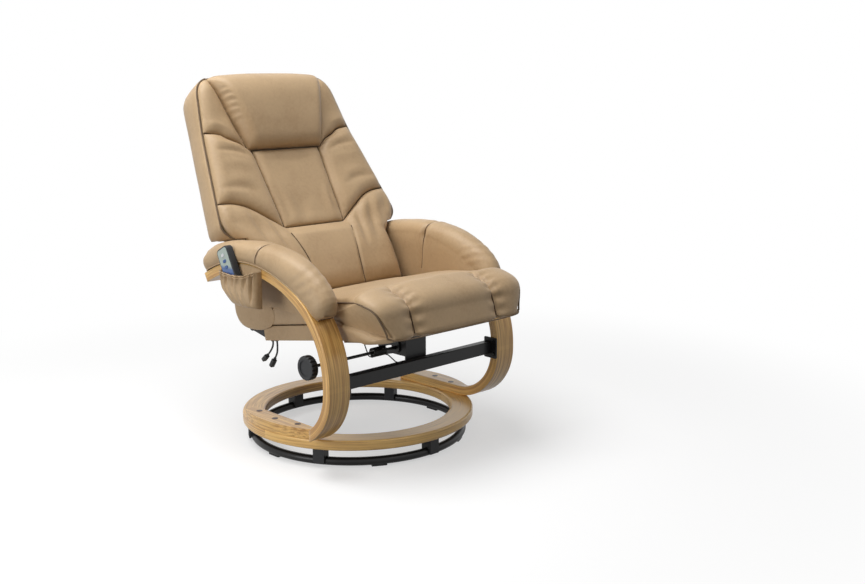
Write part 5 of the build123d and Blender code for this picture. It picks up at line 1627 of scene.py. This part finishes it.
    def channel_seams(self) -> None:
        """Dark seam cords at the bottom of the two tucks: painted shade for the shadow in the tucks."""
        line, out = self.profile()
        pick = (line[:, 0] < -196) & (line[:, 1] > -6.5)
        path = line[pick] - out[pick] * self.tuck_sink
        order = np.argsort(-(path[:, 0] - 0.9 * np.clip(60 - path[:, 1], 0, None)))
        smooth = smooth_line(path[order][::5], 90)
        cords = []
        for side in Side:
            x = np.full(len(smooth), side.value * self.channel)
            rows = SEAT.world(np.column_stack([x, smooth]))
            cords.append(tube(f"tuck_{side.word}", rows, self.tuck_radius, 8))
        settle(merged("seat_tuck_seams", cords), self.shop.brown, "seat")

    def band(self, name: str, plan: Array) -> Piece:
        """Makes a stuffed leather band that stands along a line in the seat's plane.

        Args:
            name: The piece's name.
            plan: Rows of (x, v).

        Returns:
            The band.
        """
        low, high = self.skirt_heights
        turn = np.linspace(0, 2 * math.pi, 40, endpoint=False)
        c, s = np.cos(turn), np.sin(turn)
        across = self.skirt_thick / 2 * np.copysign(np.abs(c) ** 0.7, c)
        up = (high - low) / 2 * np.copysign(np.abs(s) ** 0.35, s)
        rings = []
        for here, side in zip(plan, square_to(np.gradient(plan, axis=0))):
            ring = np.column_stack([here + across[:, None] * side, (low + high) / 2 + up])
            rings.append(SEAT.world(ring))
        return loft(name, rings)

    def skirt(self) -> Piece:
        """Makes the leather band round the frame, open where the hinge arms pass.

        Returns:
            One piece of two bands.
        """
        x, front, rear = self.skirt_x, self.skirt_front, self.skirt_rear
        half = [(-x, rear - 1.5), (-x, front + 14), (-x + 4, front + 4), (-x + 14, front)]
        way = np.array(half + [(-across, v) for across, v in reversed(half)], float)
        sides = self.band("skirt_sides", even(way, 260))
        line = [(across, rear) for across in np.linspace(-self.skirt_rear_half, self.skirt_rear_half, 60)]
        back = self.band("skirt_rear", np.array(line))
        obj = merged("seat_band", [sides, back])
        return settle(obj, self.shop.tan, "seat", ("seat_skirt",))

    def lining(self) -> Piece:
        """Makes the black lining tacked under the frame, a little slack away from the seat plate.

        Returns:
            The lining.
        """
        half, front, rear = self.lining_half, self.lining_front, self.lining_rear
        plan = np.stack(np.meshgrid(np.linspace(-half, half, 60), np.linspace(front, rear, 44)), axis=-1)
        x, v = plan[..., 0], plan[..., 1]
        edge = np.minimum(1 - np.abs(x) / half, np.minimum(v - front, rear - v) / 200)
        sag = self.lining_sag * np.clip(edge * 3, 0, 1)
        sag = sag + waves(plan, 60, 9, 0.35) * np.clip(edge * 6, 0, 1)
        sag = sag * (1 - np.exp(-(np.hypot(x, v - self.plate_place) / self.plate_reach) ** 4))
        top, under = (SEAT.world(np.dstack([plan, -depth - sag * 0.5])) for depth in (0.25, 1.15))
        obj = slab("seat_lining", top, under)
        settle(obj, self.shop.cover, "seat", ("seat_bottom_cover",))
        return obj

    def build(self) -> None:
        """Makes the whole seat."""
        self.cushion()
        self.piping()
        self.channel_seams()
        self.skirt()
        self.lining()


@dataclass(frozen=True)
class Lead:
    """One lead: its piece, its solid, its place along the seat, its bends and its length in metres."""

    name: str
    node: str
    v: float
    steps: Triples
    length: float


@dataclass
class Leads:
    """The two short leads that hang out of the seat's lining, with a plug on each.

    A plug's section is (distance along it, half width, half thickness, power of its rounding). The leads'
    diameter is in metres.
    """

    shop: Workshop
    x: float = -226.0
    inside: float = 14.0
    outside: float = -9.0
    grommet: float = -3.4
    diameter: float = 0.005
    leads: tuple[Lead, ...] = (
        Lead("rear_supply_lead", "rear_lead", 204,
             ((-1, 4, -13), (-2, 13, -26), (-1, 25, -36)), 0.0677),
        Lead("front_supply_lead", "front_lead", 186,
             ((0.5, 1, -15), (2, 5, -30), (1, 13, -43)), 0.0687))
    sections: tuple[tuple[float, float, float, float], ...] = (
        (0.2, 3.1, 3.1, 2), (0.8, 3.9, 3.9, 2), (2, 3.9, 3.9, 2), (2.3, 3.3, 3.3, 2),
        (3.1, 3.3, 3.3, 2), (3.4, 4, 4, 2), (4.6, 4, 4, 2), (5, 3.5, 3.5, 2),
        (5.8, 3.6, 3.6, 2), (6.1, 5.6, 4.7, 4), (6.9, 6.4, 5.4, 6), (14, 6.5, 5.5, 6),
        (14.4, 6.1, 5.1, 6), (15.4, 6.1, 5.1, 6), (15.8, 6.5, 5.5, 6), (29.2, 6.5, 5.5, 6),
        (30, 6.1, 5.1, 6), (29.9, 5.2, 4.2, 5), (24.4, 5, 4, 5))

    def route(self, lead: Lead) -> Array:
        """The route of one lead: through the lining, then hanging."""
        ends = SEAT.world(np.array([(self.x, lead.v, self.inside), (self.x, lead.v, self.outside)]))
        return np.vstack([ends, ends[1] + np.array(lead.steps)])

    def sheath(self, lead: Lead, route: Array) -> Piece:
        """Makes one lead as a curve with a round section.

        Args:
            lead: The lead.
            route: Its points.

        Returns:
            The lead.
        """
        curve = bpy.data.curves.new(lead.name, "CURVE")
        curve.dimensions = "3D"
        spline = curve.splines.new("NURBS")
        spline.points.add(len(route) - 1)
        for point, place in zip(spline.points, route):
            point.co = (*(place * MM), 1.0)
        spline.order_u = 3
        spline.use_endpoint_u = True
        spline.resolution_u = 10
        curve.bevel_depth = self.diameter / 2
        curve.bevel_resolution = 3
        curve.use_fill_caps = True
        obj = in_scene(lead.name, curve)
        return settle(obj, self.shop.rubber, "seat", (lead.node,))

    def plug(self, name: str, route: Array) -> Piece:
        """Makes a moulded connector: ribbed neck, body with a groove and an open mouth.

        Args:
            name: The piece's name.
            route: The lead's points.

        Returns:
            The connector.
        """
        down = route[-1] - route[-2]
        down = down / np.linalg.norm(down)
        side = np.array([1.0, 0.0, 0.0]) - down * down[0]
        side /= np.linalg.norm(side)
        deep = np.cross(down, side)
        turn = np.linspace(0, 2 * math.pi, 32, endpoint=False)
        c, s = np.cos(turn), np.sin(turn)
        rings = []
        for along, wide, thick, power in self.sections:
            a = wide * np.sign(c) * np.abs(c) ** (2 / power)
            b = thick * np.sign(s) * np.abs(s) ** (2 / power)
            rings.append(route[-1] + down * along + a[:, None] * side + b[:, None] * deep)
        obj = loft(name, rings, 40.0)
        return settle(obj, self.shop.plastic, "seat", ("lead_connectors",))

    def build(self) -> None:
        """Makes both leads and their plugs."""
        for number, lead in enumerate(self.leads, 1):
            route = self.route(lead)
            obj = self.sheath(lead, route)
            plug = self.plug(f"lead_plug_{number}", route)
            exit_point = SEAT.world(np.array([(self.x, lead.v, self.grommet)]))[0] * MM


# The arms


@dataclass
class Arm:
    """One arm: a stuffed pad over the rail whose leather runs on down the rail's inner face.

    Widths are measured from the chair's middle plane, and a place along the arm is a share of the rail's
    padded length.
    """

    shop: Workshop
    side: Side
    inner: float = 250.0
    outer: float = 336.0
    inner_taper: float = 10.0
    outer_taper: float = 9.0
    rail_inner: float = 264.0
    rail_middle: float = 290.0
    panel_x: float = 254.8
    panel_low: float = 388.0
    foot: float = 0.9
    seam: float = 0.497
    crown_points: int = 72
    side_points: int = 5
    panel_points: int = 39
    wall_points: int = 11
    foot_points: int = 13
    lip_radius: float = 1.9
    foot_seam_drop: float = 1.9

    def panel_depth(self, share: float) -> float:
        """Measures how far the panel reaches below the rail's top, along the rail's radius.

        Args:
            share: Place along the rail.

        Returns:
            The depth, faded out at both ends of the panel.
        """
        first, second = RAIL.lengths
        run = share * (first + second)
        if run < first:
            angle = math.radians(RAIL.start) - run / RAIL.knee[2]
            depth = RAIL.knee[2] - (self.panel_low - RAIL.knee[1]) / math.sin(angle)
            return max(0.0, depth * float(eased(share, 0.03, 0.085)))
        angle = math.radians(RAIL.change) - (run - first) / RAIL.bend[2]
        depth = RAIL.bend[2] - (self.panel_low - RAIL.bend[1]) / math.sin(angle)
        return depth * float(1 - eased(share, 0.765, 0.80))

    def section(self, share: float) -> tuple[Array, Array]:
        """Draws one section of the arm.

        Args:
            share: Place along the rail.

        Returns:
            Distances from the middle plane and heights over the rail's top: up the outer side, over the
            crown, down the panel, up the rail's inner face and back along the pad's foot.
        """
        total = sum(RAIL.lengths)
        top = float(RAIL.height(np.array(share)))
        low = self.foot + 20.0 * float(1 - shoulder(np.array([(share + 0.019) * total]), 12)[0])
        end = min((share + 0.0215) * total, (1.004 - share) * total)
        fullness = 0.30 + 0.70 * float(shoulder(np.array([end]), 34)[0])
        front = float(1 - eased(share, 0, 0.34))
        inner, outer = self.inner + self.inner_taper * front, self.outer - self.outer_taper * front
        middle = (inner + outer) / 2
        half = (outer - inner) / 2 * fullness
        inner, outer = middle - half, middle + half
        turn = np.linspace(0.0, math.pi, self.crown_points)
        c, s = np.cos(turn), np.sin(turn)
        power = 2 / (2.45 - 0.45 * front)
        shoulder_y, foot_y = low + 15.0, low + 1.5
        crown_x = middle + half * np.sign(c) * np.abs(c) ** power
        crown_y = shoulder_y + (top - shoulder_y) * np.abs(s) ** power
        side_y = np.linspace(shoulder_y, foot_y, self.side_points + 1)[:0:-1]
        side_x = outer - 0.02 * (shoulder_y - side_y) ** 2
        drop = self.panel_depth(share)
        has_panel = drop > 1
        ladder = np.linspace(0, 1, self.panel_points + 1)[1:]
        panel_y = shoulder_y - ladder * (shoulder_y - foot_y + drop)
        swell = 3.2 * np.sin(np.clip(ladder * 1.02, 0, 1) * math.pi) ** 0.8 * min(1.0, drop / 50.0)
        panel = inner + (self.panel_x - inner) * eased(ladder, 0, 0.55) * min(1.0, drop / 30.0) - swell
        tail = shoulder((1 - ladder) * max(foot_y + drop, 6), 9)
        wall = self.rail_inner - 0.6 if has_panel else inner + 2
        panel_x = wall + (panel - wall) * np.where(ladder > 0.5, tail, 1.0)
        if has_panel:
            wall_x = np.full(self.wall_points, wall)
            wall_y = np.linspace(-drop, min(low, 1.0), self.wall_points + 1)[1:]
        else:
            wall_x = np.linspace(inner + 2, inner + 4, self.wall_points)
            wall_y = np.full(self.wall_points, low)
        foot_x = np.linspace(wall_x[-1], outer - 4.0, self.foot_points + 1)[1:]
        xs = np.r_[side_x, crown_x, panel_x, wall_x, foot_x]
        return xs, np.r_[side_y, crown_y, panel_y, wall_y, np.full(self.foot_points, low)]

    def pad(self) -> Piece:
        """Makes the arm's leather, fullest over its front, with one cross seam.

        Returns:
            The arm.
        """
        total = sum(RAIL.lengths)
        spans = ((-0.0177, 0.06, 26), (0.064, 0.95, 130), (0.954, 0.9995, 20))
        shares = np.concatenate([np.linspace(*span) for span in spans])
        rings = []
        for share in shares:
            xs, ys = self.section(float(share))
            rows = np.column_stack([xs, RAIL.at(np.full(len(xs), share), ys)])
            above = np.clip((ys - 8) / 14, 0, 1)
            inside = np.clip((self.rail_inner - xs) / 6, 0, 1)
            skin = np.maximum(above, inside * np.clip((ys + 70) / 20, 0, 1))
            gap = (share - self.seam) * total
            bulge = math.exp(-(abs(gap) - 16) ** 2 / 120.0)
            dip = above * (3.4 * bell(gap, 3.6) - 1.5 * bulge)
            lower = inside * bell(ys + 30, 60)
            knot = inside * bell(ys - 22, 16)
            pucker = 1.2 * bell(gap, 24) * math.cos(gap / 4.2)
            pull = (lower * (2.2 * bell(gap, 4) - 0.8 * bulge) + knot * (4.2 * bell(gap, 7) + pucker))
            soft = waves(rows + [0, 0, 40.0 * self.side.value], 95, 13 + self.side.value, 1) * skin
            centre = np.array([self.rail_middle, *RAIL.at(np.array(share), np.array(22.0))])
            inward = centre - rows
            inward /= np.maximum(np.linalg.norm(inward, axis=1, keepdims=True), 1e-6)
            rows = rows + inward * (dip - soft - self.creases(float(share), xs, ys) * above)[:, None]
            rows[:, 0] += pull
            rows[:, 0] *= self.side.value
            rings.append(rows)
        obj = loft(f"{self.side.word}_arm_cushion", rings)
        nodes = (f"{self.side.word}_arm_pad", f"{self.side.word}_arm_flap")
        return settle(obj, self.shop.tan, "base", nodes)

    def creases(self, share: float, xs: Array, ys: Array) -> Array:
        """Short slanting creases towards the front and gathers at the rear end.

        Args:
            share: Place along the rail.
            xs: Distances from the middle plane.
            ys: Heights over the rail's top.

        Returns:
            One height for each point of the section.
        """
        front = bell(share - 0.15, 0.07)
        rear = bell(share - 0.97, 0.03)
        slanting = 0.7 * front * np.sin(share * 120.0 + xs * 0.10 + ys * 0.14)
        return slanting + 1.5 * rear * np.sin(xs * 0.42 + share * 60)

    def cross_seam(self) -> Piece:
        """The seam across the pad, down to the tuft on its inner side, as a dark cord that paints the shade
        in its dip.

        Returns:
            The seam.
        """
        xs, ys = self.section(self.seam)
        seen = slice(2, self.side_points + self.crown_points + 27)
        xs, ys = xs[seen], ys[seen]
        inside = np.clip((self.rail_inner - xs) / 6, 0, 1)
        sunk = 2.6 * np.clip((ys - 8) / 14, 0, 1)
        deep = inside * (2.0 * bell(ys + 30, 60) + 4.0 * bell(ys - 22, 16))
        place = RAIL.at(np.full(len(xs), self.seam), ys - sunk)
        line = np.column_stack([(xs + deep) * self.side.value, place])
        return tube(f"{self.side.word}_cross_seam", line, 0.95, 8)

    def foot_line(self) -> Array:
        """The line along the pad's outer foot.

        Returns:
            Rows of (x, y, z).
        """
        shares = np.linspace(-0.010, 0.985, 220)
        xs = np.array([self.section(float(share))[0][0] - 0.8 for share in shares])
        return np.column_stack([xs * self.side.value, RAIL.at(shares, np.full(len(shares), 2.2))])

    def front_seam(self) -> Piece:
        """The seam under the pad's front end, as a dark cord that paints the shade under it.

        Returns:
            The seam.
        """
        xs, ys = self.section(-0.014)
        across = np.linspace(float(xs.min()) + 2, float(xs.max()) - 2, 40)
        place = RAIL.at(np.full(40, -0.0155), np.full(40, float(ys.min()) + 1.0))
        line = np.column_stack([across * self.side.value, place])
        return tube(f"{self.side.word}_front_seam", line, 1.3, 8)

    def seams(self) -> None:
        """The cross seam, the leather lip and the seam round the pad's foot; the seams are dark cords that
        paint the shade in their dips and under the lip.
        """
        foot = self.foot_line()
        cross = self.cross_seam()
        lip = tube(f"{self.side.word}_arm_lip", foot + [self.side.value * 0.8, 0, 0], self.lip_radius, 10)
        settle(lip, self.shop.tan, "base")
        under = tube(f"{self.side.word}_foot_seam", foot - [0.0, 0.0, self.foot_seam_drop], 0.9, 8)
        obj = merged(f"{self.side.word}_arm_seams", [cross, under, self.front_seam()])
        settle(obj, self.shop.brown, "base")

    def build(self) -> None:
        """Makes the arm."""
        self.pad()
        self.seams()


# The pocket


@dataclass
class Pocket:
    """The gathered pocket on the sitter's right.

    Its faces lie at x, its ends at y and its levels at z. A level is a height and how far
    the pouch bulges there, as a share of its depth.
    """

    shop: Workshop
    inner: float = -331.9
    outer: float = -364.9
    front: float = -24.0
    heel: Pairs = ((404, 76), (446, 132), (490, 136))
    levels: Pairs = (
        (404.6, 0.10), (405.2, 0.5), (407, 0.72), (411, 0.86), (417, 0.94), (425, 0.98),
        (434, 1), (444, 0.99), (454, 0.975), (463, 0.955), (471, 0.935), (477, 0.92),
        (481, 0.91), (484, 0.905), (487, 0.905), (489.2, 0.91))
    leather: float = 1.7
    low: float = 404.6
    high: float = 489.6
    line_points: int = 150
    gathers: float = 15.0
    mouth_rise: float = 11.0
    mouth_sag: float = 3.5
    mouth_length: float = 160.0
    gusset_place: float = 15.0
    gusset_width: float = 3.6
    gusset_depth: float = 8.5
    gusset_line: Pairs = ((409, -352.5), (440, -347.5), (494, -347))
    gusset_shade_cord: float = 1.3
    hem: Pairs = ((488.2, 0.9), (482.6, 1))
    hem_bulge: float = 0.91
    hem_radius: float = 1.25

    def rear_at(self, z: float) -> float:
        """The rear edge at a height, cut back below the heel."""
        heights, ends = np.array(self.heel).T
        return float(np.interp(z, heights, ends))

    def rise(self, line: Array) -> Array:
        """Measures how the mouth climbs at its front end and sags in the middle.

        Args:
            line: Rows of (x, y, z).

        Returns:
            The lift of each point.
        """
        run = line[:, 1] - self.front
        climb = self.mouth_rise * bell(run, 30)
        sag = self.mouth_sag * np.sin(math.pi * np.clip(run / self.mouth_length, 0, 1))
        return eased(line[:, 2], 430, 490) * (climb - sag)

    def gusset(self, line: Array) -> Array:
        """How deep the front end folds in beside its gusset."""
        fold = bell(line[:, 1] - self.front - self.gusset_place, self.gusset_width)
        return self.gusset_depth * fold * eased(line[:, 2], 408, 440) * (line[:, 0] < self.inner - 12.0)

    def path(self, z: float, shrink: float, bulge: float) -> Array:
        """Draws the pouch's outline at a height, from its front edge round to its rear edge.

        Args:
            z: The height.
            shrink: How far inside the leather's outer face it lies.
            bulge: How far it stands out, as a share of the pouch's depth.

        Returns:
            Rows of (x, y, z).
        """
        share = np.linspace(0, 1, self.line_points)
        front, rear = self.front + shrink, self.rear_at(z) - shrink
        depth = (self.inner - self.outer - shrink) * bulge
        y = front + (rear - front) * (share - 0.055 * np.sin(2 * math.pi * share))
        out = depth * np.sin(math.pi * share) ** 0.30
        return np.column_stack([self.inner - out, y, np.full(self.line_points, z)])

    def pouch(self) -> Piece:
        """Makes the leather pouch with gathers under its hem.

        Returns:
            The pouch.
        """
        mask = np.sin(math.pi * np.linspace(0, 1, self.line_points)) ** 0.5
        turn = np.linspace(0, self.gathers * math.pi, self.line_points)
        faces = {0.0: [], self.leather: []}
        for z, bulge in self.levels:
            amount = 4.4 * bell(z - 484, 30) + 0.5
            wave = np.sin(turn + 0.9 * math.sin(z / 11)) + 0.4 * np.sin(1.7 * turn + z / 14)
            gather = amount * wave * mask
            for shrink, lines in faces.items():
                line = self.path(z + (1.6 if shrink and z < 406 else 0), shrink, bulge)
                droop = 1.1 * waves(line, 40, 23, 1) * bell(z - 430, 30) * mask
                line[:, 0] -= gather * 0.8 + droop - 0.1 if shrink else gather + droop
                line[:, 0] = np.clip(line[:, 0], self.outer - 1.5 + shrink, self.inner)
                line[:, 0] += self.gusset(line)
                line[:, 2] += self.rise(line)
                lines.append(line)
        obj = slab("pocket_pouch", *(np.array(lines) for lines in faces.values()))
        settle(obj, self.shop.tan, "base", ("pocket_front",))
        return obj

    def backing(self) -> Piece:
        """Makes the flat leather between the pouch and the rail, up to the arm pad at its front.

        Returns:
            The backing.
        """
        cy, cz, radius = RAIL.bend
        rows = []
        for share in np.linspace(0, 1, 34):
            ys = np.linspace(self.front, self.rear_at(self.low + 85.0 * share), 40)
            under_pad = cz + np.sqrt(radius ** 2 - (ys - cy) ** 2) - 3.0
            top = self.high + (under_pad - self.high) * (1 - eased(ys, 62, 92))
            rows.append(np.column_stack([np.zeros(40), ys, self.low + (top - self.low) * share]))
        near, far = (np.array(rows) + [self.inner + depth, 0, 0] for depth in (0.1, 1.5))
        obj = slab("pocket_backing", near, far)
        settle(obj, self.shop.tan, "base", ("pocket_back",))
        return obj

    def elastic(self) -> Piece:
        """Makes the gathered hem over the pocket's elastic.

        Returns:
            The hem's two rolls.
        """
        rolls = []
        for number, (z, grow) in enumerate(self.hem):
            line = self.path(z, 0.0, self.hem_bulge)[4:-4]
            line[:, 0] -= grow + 2.0 + 2.4 * np.sin(np.linspace(0.3 * math.pi, 14.7 * math.pi, len(line)))
            line[:, 2] += 0.9 * np.sin(np.linspace(0, 37 * math.pi, len(line)))
            line[:, 0] = np.clip(line[:, 0], self.outer - 2.4, self.inner - 1)
            line[:, 0] += self.gusset(line)
            line[:, 2] += self.rise(line)
            rolls.append(tube(f"hem_{number}", line, self.hem_radius, 8))
        return settle(merged("pocket_hem", rolls), self.shop.tan, "base", ("pocket_elastic",))

    def build(self) -> None:
        """Makes the pocket."""
        self.pouch()
        self.backing()
        self.elastic()
        # A dark cord down the gusset's fold: painted shade for the shadow in the fold.
        heights, depths = np.array(self.gusset_line).T
        zs = np.linspace(heights[0], heights[-1], 30)
        ys = np.full(30, self.front + self.gusset_place)
        crease = np.column_stack([np.interp(zs, heights, depths), ys, zs])
        settle(tube("gusset_shade_cord", crease, self.gusset_shade_cord, 8), self.shop.brown, "base")


# What the solids already show


@dataclass
class Carried:
    """Solids that stay as they are and get their finish."""

    shop: Workshop
    nodes: dict

    def finishes(self) -> dict[str, Material]:
        """Lists the finish of each solid that is shown.

        Returns:
            A finish for each node.
        """
        shop = self.shop
        groups = (
            (shop.ring, "base_ring"),
            (shop.wood, "right_bentwood_leg left_bentwood_leg"),
            (shop.steel, "floor_ring crossbar centre_bracket return_spring back_frame back_brackets"),
            (shop.steel, "seat_plate seat_hinge_arms lock_rod crossbar_screws"),
            (shop.plastic, "floor_pads glide_blocks lock_knob back_motors seat_motor"),
            (shop.plastic, "control_box handset_case"),
            (shop.zinc, "glide_screws leg_bolts arm_screws pivot_bolts bracket_screws hinge_pins"),
            (shop.cap, "bolt_caps"),
            (shop.ply, "arm_boards seat_frame"),
            (shop.web, "back_webbing seat_webbing"),
            (shop.heater, "heating_pad"),
            (shop.rubber, "lead_grommets"),
            (shop.face, "handset_faceplate"),
            (shop.blue, "program_button heat_button"),
            (shop.silver, "power_button"))
        return {name: finish for finish, names in groups for name in names.split()}

    def dress(self) -> None:
        """Gives each solid its finish on the object's own slots."""
        for name, finish in self.finishes().items():
            obj = self.nodes[name]
            if not obj.material_slots:
                obj.data.materials.append(finish)
            for slot in obj.material_slots:
                slot.link = "OBJECT"
                slot.material = finish
            log.info("%s keeps its solid", name)


# Studio


@dataclass
class Studio:
    """Camera, floor and light. Places are in metres and angles in degrees."""

    spot: Triple = (-1.94593, -2.31558, 1.00099)
    azimuth: float = -44.01
    elevation: float = 11.316
    roll: float = -0.29
    lens: float = 46.595
    sensor: float = 36.0
    far_clip: float = 60.0
    floor_half: float = 9.0
    floor_z: float = -0.0006
    floor_grey: Pair = (0.50, 0.20)
    floor_glow: float = 0.52
    mirror_glow: float = 0.75
    white_from: Pair = (0.75, 1.9)
    ambient: float = 0.19
    lamps: tuple[tuple, ...] = (
        ("overhead", (-0.8, 0.3, 3.1), (0, 0, 0.4), 2, 86),
        ("near fill", (-3.3, 0.15, 0.85), (0, 0, 0.3), 1.5, 38),
        ("far fill", (0.6, -3.2, 3.2), (0, 0, 0.8), 1.8, 16))

    def camera(self) -> None:
        """The camera of the photograph."""
        data = bpy.data.cameras.new("studio camera")
        data.lens, data.sensor_width, data.sensor_fit = self.lens, self.sensor, "HORIZONTAL"
        data.clip_end = self.far_clip
        cam = in_scene("studio camera", data)
        a, e, r = (math.radians(angle) for angle in (self.azimuth, self.elevation, self.roll))
        back = Vector((math.sin(a) * math.cos(e), -math.cos(a) * math.cos(e), math.sin(e)))
        right = Vector((math.cos(a), math.sin(a), 0.0))
        up = back.cross(right)
        right, up = right * math.cos(r) + up * math.sin(r), -right * math.sin(r) + up * math.cos(r)
        axes = Matrix((right, up, back)).transposed().to_4x4()
        cam.matrix_world = Matrix.Translation(self.spot) @ axes
        bpy.context.scene.camera = cam

    def sweep(self) -> Material:
        """Makes the floor's finish: grey that keeps the shadow near the chair, white further out.

        Returns:
            The material.
        """
        n = Surface("white sweep")
        path = n.add("LightPath").outputs
        seen = n.math("MAXIMUM", path["Is Camera Ray"], n.times(path["Is Glossy Ray"], self.mirror_glow))
        low, high = self.floor_grey
        shade = n.first("MapRange", {"Value": path["Is Diffuse Ray"], "To Min": low, "To Max": high})
        glow = n.first("Emission", {"Strength": n.times(seen, self.floor_glow)})
        both = n.first("AddShader", {0: n.first("BsdfDiffuse", {0: shade}), 1: glow})
        run = n.add("VectorMath", {0: n.place}, operation="LENGTH").outputs["Value"]
        near, far = self.white_from
        fade = n.first("MapRange", {"Value": run, "From Min": near, "From Max": far},
                       interpolation_type="SMOOTHSTEP")
        mixed = n.first("MixShader", {0: n.times(fade, seen), 1: both, 2: n.first("Emission")})
        n.tree.nodes.remove(n.shader)
        n.tree.links.new(mixed, n.out.inputs[0])
        return n.material

    def floor(self) -> None:
        """A pale floor that shows as white and keeps the shadow."""
        mesh = bpy.data.meshes.new("studio floor")
        half = self.floor_half
        ways = ((-half, -half), (half, -half), (half, half), (-half, half))
        corners = [(x, y, self.floor_z) for x, y in ways]
        mesh.from_pydata(corners, [], [(0, 1, 2, 3)])
        mesh.materials.append(self.sweep())
        in_scene("studio floor", mesh)

    def lamp(self, name: str, place: tuple, aim: tuple, size: float, power: float) -> None:
        """Sets up a soft square lamp.

        Args:
            name: The lamp's name.
            place: Where it stands.
            aim: Where it points.
            size: The length of its side.
            power: Its power in watts.
        """
        data = bpy.data.lights.new(name, "AREA")
        data.shape, data.size, data.energy = "SQUARE", size, power
        obj = in_scene(name, data)
        obj.location = place
        obj.rotation_euler = (Vector(aim) - Vector(place)).to_track_quat("-Z", "Y").to_euler()

    def light(self) -> None:
        """Soft light from above, from the near side and from the front, and a dim white room."""
        world = bpy.data.worlds.new("studio")
        bpy.context.scene.world = world
        world.use_nodes = True
        n = Tree(world.node_tree)
        path = n.add("LightPath").outputs
        seen = n.math("MAXIMUM", path["Is Camera Ray"], path["Is Glossy Ray"])
        level = n.first("MapRange", {"Value": seen, "To Min": self.ambient})
        ground = n.first("Background", {"Color": (1, 1, 1, 1), "Strength": level})
        n.add("OutputWorld", {0: ground})
        for lamp in self.lamps:
            self.lamp(*lamp)

    def build(self) -> None:
        """Sets up the studio."""
        self.camera()
        self.floor()
        self.light()
        bpy.context.scene.view_settings.view_transform = "Standard"


def main() -> None:
    """Builds the chair's looks round its solids."""
    logging.basicConfig(level=logging.INFO, format="%(name)s %(message)s")
    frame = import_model()
    Studio().build()
    shop = Workshop()
    stitcher = Stitcher(shop.brown)
    Leads(shop).build()
    Carried(shop, frame["nodes"]).dress()
    Seat(shop).build()
    Backrest(shop, stitcher).build()
    for side in Side:
        Arm(shop, side).build()
    Pocket(shop).build()


if __name__ == "__main__":
    main()
